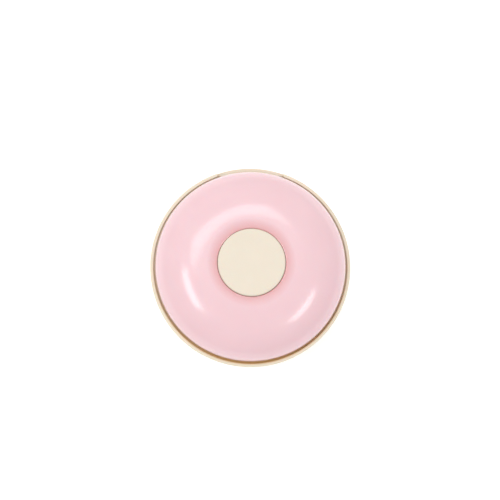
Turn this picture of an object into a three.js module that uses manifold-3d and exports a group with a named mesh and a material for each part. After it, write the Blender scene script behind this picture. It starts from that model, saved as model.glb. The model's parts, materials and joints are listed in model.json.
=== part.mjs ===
// A round press-button pill splitter, in millimetres, +Z up, standing on its feet at z = 0.
// A ring-shaped lid is hinged at the back (+Y) of a flanged base. A push button in the middle of the lid
// carries the blade, which a spring holds up inside a guard cup. Under it a V-shaped block holds the pill,
// and a tray on each side of the block stores pills.
import * as THREE from "three";
import { mergeVertices } from "three/addons/utils/BufferGeometryUtils.js";
import Module from "manifold-3d";

const wasm = await Module();
wasm.setup();

// ---------------------------------------------------------------- driving dimensions
const AROUND = 40; // facets round the large turned pieces
const AROUND_SMALL = 12; // facets round pins, screws and small bores

const FIT = 0.2; // gap between two pieces that are fixed together
const SLIDE_FIT = 0.3; // gap between two pieces that slide or turn on each other

// base
const RIM_RADIUS = 37.5;
const RIM_HEIGHT = 2.4; // below the base's top face; the lip stands above it
const RIM_ROUND = 0.8;
const LIP_WIDTH = 1.3; // the raised lip that the lid's edge sits inside
const LIP_RISE = 1.0;
const LIP_ROUND = 0.5;
const BASE_HEIGHT = 16.6; // top of the rim
const BASE_WALL = 2.0;
const RIM_OVERHANG = 3.5; // how far the rim stands out from the base's wall
const BASE_FLOOR = 2.0;
const BOWL_HEIGHT = 8.7; // height of the bowl's outer curve
const BOWL_REACH = 7.0; // how far the bowl's curve leans out
const RIM_FILLET = 1.2;
const SPIGOT_HEIGHT = 2.7; // the lip that centres the lid
const SPIGOT_GAP = 0.4; // between the lip and the lid's inner wall

// feet
const FOOT_RADIUS = 4.0;
const FOOT_HEIGHT = 1.3;
const FOOT_STAND = 0.8; // how far a foot stands proud of the base
const FOOT_INSET = 2.0; // from a foot's edge to the end of the flat underside
const FEET = 4;

// lid
const LID_SET_IN = 1.95; // the lid's widest line inside the rim's edge
const LID_GAP = 0.8; // shadow gap between the rim and the lid
const LID_WALL = 2.0;
const LID_TUCK = 0.7; // how far the lid's lower edge turns in
const LID_TUCK_HEIGHT = 1.0;
const CREST_RADIUS = 16.5;
const CREST_RISE = 12.0; // crest above the lid's widest line
const DOME_FULLNESS = 2.15; // power of the dome's superellipse: 2 is an ellipse, more is fuller
const DISH_DEPTH = 0.3; // the lid's fall from its crest to the button
const COLLAR_DEPTH = 6.76; // the button's bore through the lid
const COLLAR_WALL = 1.75;

// button
const BUTTON_RADIUS = 12.5;
const BUTTON_ABOVE_CREST = 0.5;
const BUTTON_TOP = 1.6;
const BUTTON_SKIRT = 1.4;
const BUTTON_ROUND = 0.8;
const BUTTON_FLANGE = 1.1; // how far the stop flange stands out
const BUTTON_FLANGE_HEIGHT = 1.2;
const TRAVEL = 7.6;

// guard cup
const CUP_WALL = 1.3;
const CUP_FLOOR = 1.0;
const CUP_FLANGE = 2.8;
const CUP_FLANGE_HEIGHT = 1.2;
const KEY_WIDTH = 2.4; // the ribs that stop the button turning
const KEY_DEPTH = 0.9;

// liner
const LINER_THICKNESS = 1.6;
const LINER_GAP = 0.5; // from the liner's edge to the dome's inside
const LINER_SCREW_INSET = 6.8; // from the liner's edge
const LINER_SCREWS = 4;
const BOSS_RADIUS = 2.6;

// blade and plunger
const BLADE_LENGTH = 18.0;
const BLADE_THICKNESS = 0.4;
const BLADE_BITE = 0.4; // how far the edge goes below the pill's floor at full travel
const BLADE_EDGE = 1.6; // height of the ground bevel
const CLAMP_LENGTH = 17.6;
const CLAMP_THICKNESS = 2.7;
const CLAMP_HEIGHT = 3.0;
const PLUNGER_THICKNESS = 1.5;
const PLUNGER_BELOW_TOP = 1.9; // room for the button's screw bosses
const CAP_BOSS_RADIUS = 2.0;
const CAP_SCREW_X = 6.5;
const BLADE_SCREW_Y = 5.0;

// return spring
const SPRING_WIRE = 0.6;
const SPRING_TURNS = 4.75;
const SPRING_END_TURNS = 0.75; // the turns at each end that lie flat
const SPRING_EASE = 0.55; // from the plunger's edge to the middle of the wire

// screws, all one size
const SCREW_SHANK = 0.8;
const SCREW_HEAD = 1.35;
const SCREW_HEAD_HEIGHT = 1.0;
const SCREW_RECESS = 0.5;

// hinge
const PIN_RADIUS = 0.8;
const PIN_FIT = 0.15;
const KNUCKLE_RADIUS = 1.6;
const PIN_FROM_EDGE = 3.3; // pin axis inside the lid's widest line
const PIN_ABOVE_EDGE = 1.5; // pin axis above the lid's lower edge
const ARM_WIDTH = 6.4;
const EAR_WIDTH = 3.0;
const COVE_HALF_WIDTH = 12.5;
const COVE_CLEARANCE = 0.4;
const SPIGOT_CUT_HALF_WIDTH = 17.0;
const COVE_LIP_DROP = 0.9;

// magnets
const MAGNET_RADIUS = 2.5;
const MAGNET_HEIGHT = 1.6;
const MAGNET_INSET = 3.9; // from the base's inner wall
const MAGNET_WALL = 1.2;

// pill block
const BLOCK_INSET = 0.6; // the block's edge inside the cup's
const BLOCK_BELOW_CUP = 0.64;
const BLOCK_WALL_HEIGHT = 6.2;
const VEE_APEX_Y = 11.4;
const VEE_FRONT_Y = -3.6; // the vee's walls end here
const PAD_THICKNESS = 1.0;
const SLIT_WIDTH = 1.4;
const SLIT_OVER_BLADE = 1.8; // the slit's length past each end of the blade
const ANVIL_WIDTH = 3.6;
const ANVIL_BELOW_EDGE = 0.8; // the anvil's top below the blade's edge at full travel
const BLOCK_SCREW_X = 9.6;
const BLOCK_SCREW_Y = 5.4;

// storage trays
const TRAY_WALL = 1.2;
const TRAY_FROM_CUP = 2.2;
const TRAY_TOP_BELOW_SPIGOT = 0.8;
const TRAY_FRONT_ANGLE = -79; // degrees from +X, on the right-hand side
const TRAY_BACK_ANGLE = 72;
const TRAY_DIVIDER_ANGLE = -4;

// ---------------------------------------------------------------- derived levels and radii
const baseUnderside = FOOT_STAND;
const floorTop = baseUnderside + BASE_FLOOR;
const baseRadius = RIM_RADIUS - RIM_OVERHANG;
const baseInnerRadius = baseRadius - BASE_WALL;
const spigotTop = BASE_HEIGHT + SPIGOT_HEIGHT;
const bowlTop = baseUnderside + BOWL_HEIGHT;
const bowlFoot = baseRadius - BOWL_REACH;
const footCircle = bowlFoot - FOOT_RADIUS - FOOT_INSET;
const magnetCircle = baseInnerRadius - MAGNET_INSET;
const magnetBossRadius = MAGNET_RADIUS + FIT + MAGNET_WALL;

const lidRadius = RIM_RADIUS - LID_SET_IN;
const lidInnerRadius = lidRadius - LID_WALL;
const spigotRadius = lidInnerRadius - SPIGOT_GAP;
const lidBottom = BASE_HEIGHT + LID_GAP;
const lidWidest = lidBottom + LID_TUCK_HEIGHT;
const crest = lidWidest + CREST_RISE;
const boreRadius = BUTTON_RADIUS + 0.35;
const dishFall = (r) => (DISH_DEPTH * (1 - Math.cos((Math.PI * (CREST_RADIUS - r)) / (CREST_RADIUS - boreRadius)))) / 2;
const dishAt = (r) => crest - dishFall(r);
const dishEdge = dishAt(boreRadius);
const collarBottom = dishEdge - COLLAR_DEPTH;

const linerBottom = spigotTop + 0.5;
const linerTop = linerBottom + LINER_THICKNESS;
const domeInsideAt = (z) => {
  const rise = (z - lidWidest) / (CREST_RISE - LID_WALL);
  return CREST_RADIUS + (lidInnerRadius - CREST_RADIUS) * (1 - rise ** DOME_FULLNESS) ** (1 / DOME_FULLNESS);
};
const linerRadius = domeInsideAt(linerTop) - LINER_GAP;
const linerScrewCircle = linerRadius - LINER_SCREW_INSET;

const buttonTop = crest + BUTTON_ABOVE_CREST;
const flangeTop = collarBottom - SLIDE_FIT;
const flangeBottom = flangeTop - BUTTON_FLANGE_HEIGHT;
const flangeRadius = BUTTON_RADIUS + BUTTON_FLANGE;
const cupBore = flangeRadius + SLIDE_FIT;
const cupRadius = cupBore + CUP_WALL;
const cupFloorTop = flangeBottom - TRAVEL - FIT;
const cupBottom = cupFloorTop - CUP_FLOOR;

const capUnderside = buttonTop - BUTTON_TOP;
const plungerTop = capUnderside - PLUNGER_BELOW_TOP;
const plungerBottom = plungerTop - PLUNGER_THICKNESS;
const clampBottom = plungerBottom - CLAMP_HEIGHT;
const bladeTop = plungerBottom - FIT;
const plungerRadius = BUTTON_RADIUS - BUTTON_SKIRT - FIT;
const springRadius = plungerRadius - SPRING_EASE - FIT / 2;

const pinBore = PIN_RADIUS + PIN_FIT;
const pinY = lidRadius - PIN_FROM_EDGE;
const pinZ = lidBottom + PIN_ABOVE_EDGE;

const blockRadius = cupRadius - BLOCK_INSET;
const blockBottom = floorTop + FIT;
const blockTop = cupBottom - BLOCK_BELOW_CUP;
const blockFloorTop = blockTop - BLOCK_WALL_HEIGHT;
const bladeBottom = blockFloorTop - BLADE_BITE + TRAVEL;
const slitLength = BLADE_LENGTH + 2 * SLIT_OVER_BLADE;
const anvilTop = blockFloorTop - BLADE_BITE - ANVIL_BELOW_EDGE;
const trayInnerRadius = cupRadius + TRAY_FROM_CUP;

// ---------------------------------------------------------------- materials
const plastic = (color, roughness) => new THREE.MeshStandardMaterial({ color, roughness, metalness: 0 });
const metal = (color, roughness) => new THREE.MeshStandardMaterial({ color, roughness, metalness: 1 });
const PINK = plastic(0xf0c6cc, 0.22);
const CREAM = plastic(0xf0e4cc, 0.4);
const CREAM_MATT = plastic(0xf2e6cf, 0.6);
const IVORY = plastic(0xf4efe4, 0.45);
const NATURAL = plastic(0xeeeeea, 0.5);
const ROSE_TPE = plastic(0xdf9aa5, 0.8);
const GREY_RUBBER = plastic(0x8b8985, 0.9);
const BLADE_STEEL = metal(0xc9ccd0, 0.25);
const SPRING_STEEL = metal(0xb5b8bd, 0.3);
const ZINC = metal(0xc4c6ca, 0.35);
const NICKEL = metal(0xd2cfc8, 0.2);

// ---------------------------------------------------------------- geometry helpers
const radians = THREE.MathUtils.degToRad;

/** Points of an elliptic arc in a turned profile, from one angle to another, in degrees. */
function arc(centreR, centreZ, radiusR, radiusZ, from, to, steps) {
  return Array.from({ length: steps + 1 }, (_, i) => {
    const a = radians(from + ((to - from) * i) / steps);
    return [centreR + radiusR * Math.cos(a), centreZ + radiusZ * Math.sin(a)];
  });
}

/** A closed mesh as a manifold-3d solid with its faces pointing out. */
function solidOf(geometry) {
  const bare = new THREE.BufferGeometry().setAttribute("position", geometry.getAttribute("position"));
  if (geometry.index) bare.setIndex(geometry.index);
  const merged = mergeVertices(bare, 1e-4);
  const vertProperties = Float32Array.from(merged.attributes.position.array);
  const triVerts = Uint32Array.from(merged.index.array);
  const solid = new wasm.Manifold(new wasm.Mesh({ numProp: 3, vertProperties, triVerts }));
  if (solid.volume() > 0) return solid;
  for (let i = 0; i < triVerts.length; i += 3) {
    [triVerts[i + 1], triVerts[i + 2]] = [triVerts[i + 2], triVerts[i + 1]];
  }
  return new wasm.Manifold(new wasm.Mesh({ numProp: 3, vertProperties, triVerts }));
}

/** A solid as a three.js geometry with flat faces. */
function geometryOf(solid) {
  const mesh = solid.getMesh();
  const indexed = new THREE.BufferGeometry()
    .setAttribute("position", new THREE.BufferAttribute(mesh.vertProperties.slice(), 3))
    .setIndex(new THREE.BufferAttribute(mesh.triVerts.slice(), 1));
  const flat = indexed.toNonIndexed();
  flat.computeVertexNormals();
  return flat;
}

/** A solid turned about Z from a profile of [radius, z] points. */
function turned(profile, facets = AROUND) {
  const points = profile.map(([r, z]) => new THREE.Vector2(r, z));
  return solidOf(new THREE.LatheGeometry(points, facets).rotateX(Math.PI / 2));
}

/** A solid ring or disc between two radii and two heights. */
function ring(inner, outer, low, high, facets = AROUND) {
  const profile = [[inner, low], [outer, low], [outer, high], [inner, high]];
  return turned(inner > 0 ? [...profile, profile[0]] : profile, facets);
}

const disc = (radius, low, high, facets = AROUND_SMALL) => ring(0, radius, low, high, facets);

/** A block between two corners. */
function block([x0, y0, z0], [x1, y1, z1]) {
  const box = new THREE.BoxGeometry(x1 - x0, y1 - y0, z1 - z0);
  return solidOf(box.translate((x0 + x1) / 2, (y0 + y1) / 2, (z0 + z1) / 2));
}

/** A prism with a flat outline in X and Y, between two heights. */
function prismZ(outline, low, high) {
  const shape = new THREE.Shape(outline.map(([x, y]) => new THREE.Vector2(x, y)));
  const made = new THREE.ExtrudeGeometry(shape, { depth: high - low, bevelEnabled: false });
  return solidOf(made.translate(0, 0, low));
}

/** A prism with its outline in Y and Z, between two values of X. */
function prismX(outline, low, high) {
  const shape = new THREE.Shape(outline.map(([y, z]) => new THREE.Vector2(y, z)));
  const made = new THREE.ExtrudeGeometry(shape, { depth: high - low, bevelEnabled: false });
  const turn = new THREE.Matrix4().makeBasis(
    new THREE.Vector3(0, 1, 0),
    new THREE.Vector3(0, 0, 1),
    new THREE.Vector3(1, 0, 0),
  );
  return solidOf(made.applyMatrix4(turn).translate(low, 0, 0));
}

/** A cylinder along X. */
function rodX(radius, x0, x1, y, z, facets = AROUND_SMALL) {
  const rod = new THREE.CylinderGeometry(radius, radius, x1 - x0, facets);
  return solidOf(rod.rotateZ(Math.PI / 2).translate((x0 + x1) / 2, y, z));
}

/** A pie slice about Z between two angles in degrees, large enough to cut any piece here. */
function wedge(from, to, low, high) {
  const reach = 2 * RIM_RADIUS;
  const steps = Math.ceil((to - from) / 30);
  const outline = [[0, 0]];
  for (let i = 0; i <= steps; i++) {
    const a = radians(from + ((to - from) * i) / steps);
    outline.push([reach * Math.cos(a), reach * Math.sin(a)]);
  }
  return prismZ(outline, low, high);
}

const at = (solid, x, y, z = 0) => solid.translate([x, y, z]);

/** The places of pieces spread evenly on a circle, starting halfway to the first. */
function spread(count, radius) {
  return Array.from({ length: count }, (_, i) => {
    const a = (2 * Math.PI * (i + 0.5)) / count;
    return [radius * Math.cos(a), radius * Math.sin(a)];
  });
}

const mirroredX = (solid) => solid.mirror([1, 0, 0]);

// ---------------------------------------------------------------- base
const footPlaces = spread(FEET, footCircle);
const blockScrewSeat = baseUnderside + SCREW_HEAD_HEIGHT + FIT; // the face that a block screw's head pulls on
const blockScrewPlaces = [[-BLOCK_SCREW_X, BLOCK_SCREW_Y], [BLOCK_SCREW_X, BLOCK_SCREW_Y]];
const armHalf = ARM_WIDTH / 2;

/** The inner curve of the bowl at a given gap, from the wall down to the floor. */
function bowlInside(gap) {
  const reachR = BOWL_REACH - BASE_WALL - gap;
  const reachZ = BOWL_HEIGHT - BASE_FLOOR - gap;
  return arc(bowlFoot, bowlTop, reachR, reachZ, 0, -90, 5);
}

function baseShell() {
  const rimLow = BASE_HEIGHT - RIM_HEIGHT;
  const lipTop = BASE_HEIGHT + LIP_RISE;
  const lipInnerRadius = RIM_RADIUS - LIP_WIDTH;
  const roundR = RIM_RADIUS - RIM_ROUND;
  const profile = [
    [0, baseUnderside],
    ...arc(bowlFoot, bowlTop, BOWL_REACH, BOWL_HEIGHT, -90, 0, 6),
    ...arc(baseRadius + RIM_FILLET, rimLow - RIM_FILLET, RIM_FILLET, RIM_FILLET, 180, 90, 2),
    ...arc(roundR, rimLow + RIM_ROUND, RIM_ROUND, RIM_ROUND, -90, 0, 2),
    ...arc(RIM_RADIUS - LIP_ROUND, lipTop - LIP_ROUND, LIP_ROUND, LIP_ROUND, 0, 90, 2),
    [lipInnerRadius, lipTop],
    [lipInnerRadius, BASE_HEIGHT],
    [spigotRadius, BASE_HEIGHT],
    [spigotRadius, spigotTop - 0.4],
    [spigotRadius - 0.4, spigotTop],
    [baseInnerRadius, spigotTop],
    ...bowlInside(0),
    [0, floorTop],
  ];
  // the arm reaches over from the inside, so that the lid's back edge can swing down behind it
  const arm = prismX(
    [
      [pinY - 5.4, bowlTop],
      [pinY - 5.4, pinZ + 1.4],
      [pinY, pinZ + 1.4],
      [pinY, pinZ - 0.9],
      [pinY - 3.5, pinZ - 1.3],
      [pinY - 3.5, pinZ - 4.4],
      [baseInnerRadius + 0.5, pinZ - 6],
      [baseInnerRadius + 0.5, bowlTop],
    ],
    -armHalf,
    armHalf,
  ).add(rodX(KNUCKLE_RADIUS, -armHalf, armHalf, pinY, pinZ));
  const bossTop = spigotTop - FIT;
  const magnetBoss = at(disc(magnetBossRadius, floorTop - 0.5, bossTop), 0, -magnetCircle);
  const bossRoot = block(
    [-magnetBossRadius, -baseInnerRadius - 0.3, floorTop + 4],
    [magnetBossRadius, -magnetCircle, bossTop],
  );
  const inside = turned([
    [0, floorTop - BASE_WALL / 2],
    ...bowlInside(-BASE_WALL / 2).reverse(),
    [baseInnerRadius + BASE_WALL / 2, spigotTop],
    [0, spigotTop],
  ]);
  const edgeSwing = Math.hypot(PIN_FROM_EDGE, PIN_ABOVE_EDGE);
  let body = turned(profile)
    .subtract(
      block([-SPIGOT_CUT_HALF_WIDTH, 0, BASE_HEIGHT], [SPIGOT_CUT_HALF_WIDTH, RIM_RADIUS, spigotTop + 1]).intersect(
        disc(lidRadius, BASE_HEIGHT, spigotTop + 1),
      ),
    )
    .subtract(rodX(edgeSwing + COVE_CLEARANCE, -COVE_HALF_WIDTH, COVE_HALF_WIDTH, pinY, pinZ, 24))
    .subtract(
      block(
        [-COVE_HALF_WIDTH, pinY, BASE_HEIGHT - COVE_LIP_DROP],
        [COVE_HALF_WIDTH, RIM_RADIUS + 1, spigotTop],
      ),
    )
    .add(magnetBoss.add(bossRoot).intersect(inside))
    .add(arm)
    .subtract(rodX(pinBore, -armHalf - 1, armHalf + 1, pinY, pinZ))
    .subtract(
      at(disc(MAGNET_RADIUS + FIT, bossTop - MAGNET_HEIGHT - 2 * FIT, spigotTop + 1), 0, -magnetCircle),
    );
  for (const [x, y] of footPlaces) {
    body = body.subtract(
      at(disc(FOOT_RADIUS + FIT, 0, FOOT_HEIGHT + FIT, AROUND_SMALL), x, y),
    );
  }
  for (const [x, y] of blockScrewPlaces) {
    body = body
      .subtract(at(disc(SCREW_SHANK + FIT, 0, floorTop + 1), x, y))
      .subtract(at(disc(SCREW_HEAD + FIT, 0, blockScrewSeat), x, y));
  }
  return body;
}

const footPad = () => disc(FOOT_RADIUS, 0, FOOT_HEIGHT, AROUND_SMALL);

/** A pan-head screw pointing up, its head's face at z = 0, with a cross recess. */
function screw(length) {
  const slot = SCREW_RECESS / 2;
  const cut = SCREW_HEAD * 0.6;
  return disc(SCREW_HEAD, 0, SCREW_HEAD_HEIGHT)
    .add(disc(SCREW_SHANK, SCREW_HEAD_HEIGHT / 2, length, 16))
    .subtract(block([-cut, -slot, -1], [cut, slot, SCREW_RECESS]))
    .subtract(block([-slot, -cut, -1], [slot, cut, SCREW_RECESS]));
}

/** One storage tray, on the +X side: a curved pan with a divider. */
function storageTray() {
  const gap = 2 * FIT;
  const top = spigotTop - TRAY_TOP_BELOW_SPIGOT;
  const panBottom = floorTop + gap;
  const outside = turned([
    [trayInnerRadius, panBottom],
    ...bowlInside(gap).reverse(),
    [baseInnerRadius - gap, top],
    [trayInnerRadius, top],
    [trayInnerRadius, panBottom],
  ]);
  const hollowInner = trayInnerRadius + TRAY_WALL;
  const hollowFloor = panBottom + TRAY_WALL;
  const hollow = turned([
    [hollowInner, hollowFloor],
    ...bowlInside(gap + TRAY_WALL).reverse(),
    [baseInnerRadius - gap - TRAY_WALL, top + 1],
    [hollowInner, top + 1],
    [hollowInner, hollowFloor],
  ]);
  const wallAngle = THREE.MathUtils.radToDeg(TRAY_WALL / hollowInner);
  const room = (from, to) => hollow.intersect(wedge(from, to, 0, top + 2));
  return outside
    .intersect(wedge(TRAY_FRONT_ANGLE, TRAY_BACK_ANGLE, 0, top + 2))
    .subtract(room(TRAY_FRONT_ANGLE + wallAngle, TRAY_DIVIDER_ANGLE - wallAngle / 2))
    .subtract(room(TRAY_DIVIDER_ANGLE + wallAngle / 2, TRAY_BACK_ANGLE - wallAngle));
}

/** The block that holds the pill: a floor with a slit for the blade and two walls in a vee. */
function pillBlock() {
  const reach = 2 * blockRadius;
  const vee = prismZ(
    [
      [0, VEE_APEX_Y],
      [-reach, VEE_APEX_Y - reach],
      [reach, VEE_APEX_Y - reach],
    ],
    blockFloorTop,
    blockTop + 1,
  );
  const front = block([-reach, -reach, blockFloorTop], [reach, VEE_FRONT_Y, blockTop + 1]);
  const slit = block(
    [-SLIT_WIDTH / 2, -slitLength / 2, 0],
    [SLIT_WIDTH / 2, slitLength / 2, blockTop + 1],
  );
  const pocket = block(
    [-ANVIL_WIDTH / 2 - FIT, -slitLength / 2 - FIT, 0],
    [ANVIL_WIDTH / 2 + FIT, slitLength / 2 + FIT, anvilTop + FIT],
  );
  let body = ring(0, blockRadius, blockBottom, blockTop, 32).subtract(vee).subtract(front).subtract(slit);
  body = body.subtract(pocket);
  for (const [x, y] of blockScrewPlaces) {
    body = body.subtract(at(disc(SCREW_SHANK + FIT, 0, blockBottom + 4.4, 16), x, y));
  }
  return body;
}

/** The soft pad on the vee's +X wall. */
function gripPad() {
  const start = SLIT_WIDTH / 2 + FIT;
  const half = Math.SQRT1_2;
  const reach = (VEE_APEX_Y - VEE_FRONT_Y) / half;
  const inset = FIT / half; // measured along Y, for a gap of FIT square to the wall
  const deep = inset + PAD_THICKNESS / half;
  const line = (x, back) => [x, VEE_APEX_Y - x - back];
  const end = Math.min(reach * half, blockRadius * 0.78);
  return prismZ(
    [line(start, inset), line(start, deep), line(end - PAD_THICKNESS, deep), line(end, inset)],
    blockFloorTop + FIT,
    blockTop - 0.4,
  );
}

const anvil = () =>
  block(
    [-ANVIL_WIDTH / 2, -slitLength / 2, blockBottom],
    [ANVIL_WIDTH / 2, slitLength / 2, anvilTop],
  );

const hingePin = () => {
  const half = armHalf + EAR_WIDTH;
  return rodX(PIN_RADIUS, -half, half, pinY, pinZ);
};

const magnet = (low) => at(disc(MAGNET_RADIUS, low, low + MAGNET_HEIGHT), 0, -magnetCircle);

// ---------------------------------------------------------------- lid
const linerScrewPlaces = spread(LINER_SCREWS, linerScrewCircle);
const insideCrest = crest - LID_WALL;
/** The dome's section from a radius at the widest line up to the crest, a quarter of a superellipse. */
function domeArc(radius, rise, steps) {
  const power = 2 / DOME_FULLNESS;
  return Array.from({ length: steps + 1 }, (_, i) => {
    const angle = (Math.PI / 2) * (i / steps);
    const across = Math.max(0, Math.cos(angle)) ** power;
    return [CREST_RADIUS + (radius - CREST_RADIUS) * across, lidWidest + rise * Math.sin(angle) ** power];
  });
}
const ceilingAt = (r) => insideCrest - dishFall(r);

/** The lid's outer surface, from its widest line over the crest to the button's bore. */
function lidOutside() {
  const dome = domeArc(lidRadius, CREST_RISE, 11);
  const dish = Array.from({ length: 5 }, (_, i) => {
    const r = CREST_RADIUS + ((boreRadius + 0.4 - CREST_RADIUS) * (i + 1)) / 5;
    return [r, dishAt(r)];
  });
  return [...dome, ...dish, [boreRadius, dishEdge - 0.5]];
}

/** The lid's inner surface, from the collar over to the wall. */
function lidInside() {
  const collarRadius = boreRadius + COLLAR_WALL;
  const slope = Array.from({ length: 4 }, (_, i) => {
    const r = collarRadius + ((CREST_RADIUS - collarRadius) * i) / 4;
    return [r, ceilingAt(r)];
  });
  const dome = domeArc(lidInnerRadius, CREST_RISE - LID_WALL, 8).reverse();
  return [[collarRadius, collarBottom], ...slope, ...dome];
}

function lidShell() {
  const profile = [
    [lidInnerRadius, lidBottom],
    [lidRadius - LID_TUCK, lidBottom],
    [lidRadius - 0.2, lidBottom + LID_TUCK_HEIGHT * 0.45],
    ...lidOutside(),
    [boreRadius, collarBottom],
    ...lidInside(),
    [lidInnerRadius, lidBottom],
  ];
  const earIn = armHalf + SLIDE_FIT;
  const ear = prismX(
    [
      [pinY - KNUCKLE_RADIUS, pinZ],
      [pinY + KNUCKLE_RADIUS, pinZ],
      [pinY + KNUCKLE_RADIUS, pinZ + 4],
      [pinY - KNUCKLE_RADIUS, pinZ + 5.5],
    ],
    earIn,
    earIn + EAR_WIDTH,
  ).add(rodX(KNUCKLE_RADIUS, earIn, earIn + EAR_WIDTH, pinY, pinZ));
  const solidLid = turned([
    [0, lidBottom - 3],
    [lidRadius - 0.8, lidBottom - 3],
    ...domeArc(lidRadius - 0.8, CREST_RISE - 0.8, 8),
    [0, crest - 0.8],
  ]);
  const ears = ear.add(mirroredX(ear)).intersect(solidLid);
  const bossRoom = solidLid.subtract(ring(0, CREST_RADIUS - 2, 0, crest + 1, 32));
  let bosses = null;
  for (const [x, y] of linerScrewPlaces) {
    const boss = at(disc(BOSS_RADIUS, linerTop + FIT, crest), x, y);
    bosses = bosses ? bosses.add(boss) : boss;
  }
  let body = turned(profile)
    .add(bosses.intersect(bossRoom))
    .add(ears)
    .subtract(rodX(KNUCKLE_RADIUS + SLIDE_FIT, -earIn, earIn, pinY, pinZ))
    .subtract(rodX(pinBore, -earIn - EAR_WIDTH, earIn + EAR_WIDTH, pinY, pinZ));
  for (const [x, y] of linerScrewPlaces) {
    body = body.subtract(at(disc(SCREW_SHANK + FIT, linerBottom, linerTop + 6, 16), x, y));
  }
  return body;
}

function linerPlate() {
  const cupHole = cupRadius + FIT;
  let body = ring(cupHole, linerRadius, linerBottom, linerTop);
  const armSide = armHalf + SLIDE_FIT + 0.2;
  const earSide = armHalf + 2 * SLIDE_FIT + EAR_WIDTH + 0.4;
  body = body
    .subtract(block([-armSide, pinY - 5.4 - 0.5, 0], [armSide, RIM_RADIUS, crest]))
    .subtract(block([-earSide, pinY - KNUCKLE_RADIUS - 0.6, 0], [earSide, RIM_RADIUS, crest]))
    .add(at(disc(MAGNET_RADIUS + 1.2, linerBottom, linerBottom + MAGNET_HEIGHT + 1), 0, -magnetCircle))
    .subtract(
      at(disc(MAGNET_RADIUS + FIT, linerBottom - 1, linerBottom + MAGNET_HEIGHT + 0.3), 0, -magnetCircle),
    );
  for (const [x, y] of linerScrewPlaces) {
    body = body
      .subtract(at(disc(SCREW_SHANK + FIT, 0, crest, 16), x, y))
      .subtract(at(disc(SCREW_HEAD + FIT, 0, linerBottom + 0.7), x, y));
  }
  return body;
}

const ribHalf = KEY_WIDTH / 2;

/** Two ribs along Y at the cup's wall, grown by a gap where they are a cut. */
function keyRibs(gap, low, high) {
  const inner = cupBore - KEY_DEPTH - gap;
  const rib = (sign) =>
    block(
      [-ribHalf - gap, sign > 0 ? inner : -cupBore - 0.5, low],
      [ribHalf + gap, sign > 0 ? cupBore + 0.5 : -inner, high],
    );
  return rib(1).add(rib(-1));
}

function guardCup() {
  const top = collarBottom - FIT;
  const flangeLow = linerTop + FIT / 2;
  return turned([
    [0, cupBottom],
    [cupRadius - 0.6, cupBottom],
    [cupRadius, cupBottom + 0.6],
    [cupRadius, flangeLow],
    [cupRadius + CUP_FLANGE, flangeLow],
    [cupRadius + CUP_FLANGE, flangeLow + CUP_FLANGE_HEIGHT],
    [cupRadius, flangeLow + CUP_FLANGE_HEIGHT],
    [cupRadius, top],
    [cupBore, top],
    [cupBore, cupFloorTop],
    [0, cupFloorTop],
  ])
    .add(keyRibs(0, cupFloorTop - CUP_FLOOR / 2, top))
    .subtract(block([-0.8, -BLADE_LENGTH / 2 - 0.7, 0], [0.8, BLADE_LENGTH / 2 + 0.7, cupFloorTop + 1]));
}

// ---------------------------------------------------------------- button, plunger and blade
const capScrewPlaces = [[-CAP_SCREW_X, 0], [CAP_SCREW_X, 0]];

function buttonCap() {
  const skirtInner = BUTTON_RADIUS - BUTTON_SKIRT;
  const roundR = BUTTON_RADIUS - BUTTON_ROUND;
  let body = turned([
    [skirtInner, flangeBottom],
    [flangeRadius, flangeBottom],
    [flangeRadius, flangeTop],
    [BUTTON_RADIUS, flangeTop],
    ...arc(roundR, buttonTop - BUTTON_ROUND, BUTTON_ROUND, BUTTON_ROUND, 0, 90, 4),
    [0, buttonTop],
    [0, capUnderside],
    [skirtInner, capUnderside],
    [skirtInner, flangeBottom],
  ]).subtract(keyRibs(SLIDE_FIT, flangeBottom - 1, flangeTop + 0.02));
  for (const [x, y] of capScrewPlaces) {
    body = body
      .add(at(disc(CAP_BOSS_RADIUS, plungerTop + FIT, capUnderside + 0.4), x, y))
      .subtract(at(disc(SCREW_SHANK + FIT, plungerTop - 1, capUnderside + 0.2, 16), x, y));
  }
  return body;
}

/** The disc under the button with the fixed half of the blade clamp. */
function plunger() {
  const half = CLAMP_LENGTH / 2;
  const face = BLADE_THICKNESS / 2 + FIT / 2;
  let body = ring(0, plungerRadius, plungerBottom, plungerTop, 32).add(
    block([face, -half, clampBottom], [face + CLAMP_THICKNESS, half, plungerBottom + 0.5]),
  );
  for (const [x, y] of capScrewPlaces) {
    body = body.subtract(at(disc(SCREW_SHANK + FIT, 0, crest, 16), x, y));
  }
  for (const y of [-BLADE_SCREW_Y, BLADE_SCREW_Y]) {
    body = body.subtract(rodX(SCREW_SHANK + FIT, -1, face + CLAMP_THICKNESS - 0.6, y, clampMid, 16));
  }
  return body;
}

const clampMid = plungerBottom - SCREW_HEAD - FIT;
const clampFace = BLADE_THICKNESS / 2 + FIT / 2;

/** The loose half of the clamp, on the -X side of the blade. */
function bladeClamp() {
  const half = CLAMP_LENGTH / 2;
  let body = block(
    [-clampFace - CLAMP_THICKNESS, -half, clampBottom],
    [-clampFace, half, plungerBottom - FIT],
  );
  for (const y of [-BLADE_SCREW_Y, BLADE_SCREW_Y]) {
    body = body.subtract(rodX(SCREW_SHANK + FIT, -clampFace - CLAMP_THICKNESS - 1, 0, y, clampMid, 16));
  }
  return body;
}

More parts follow.
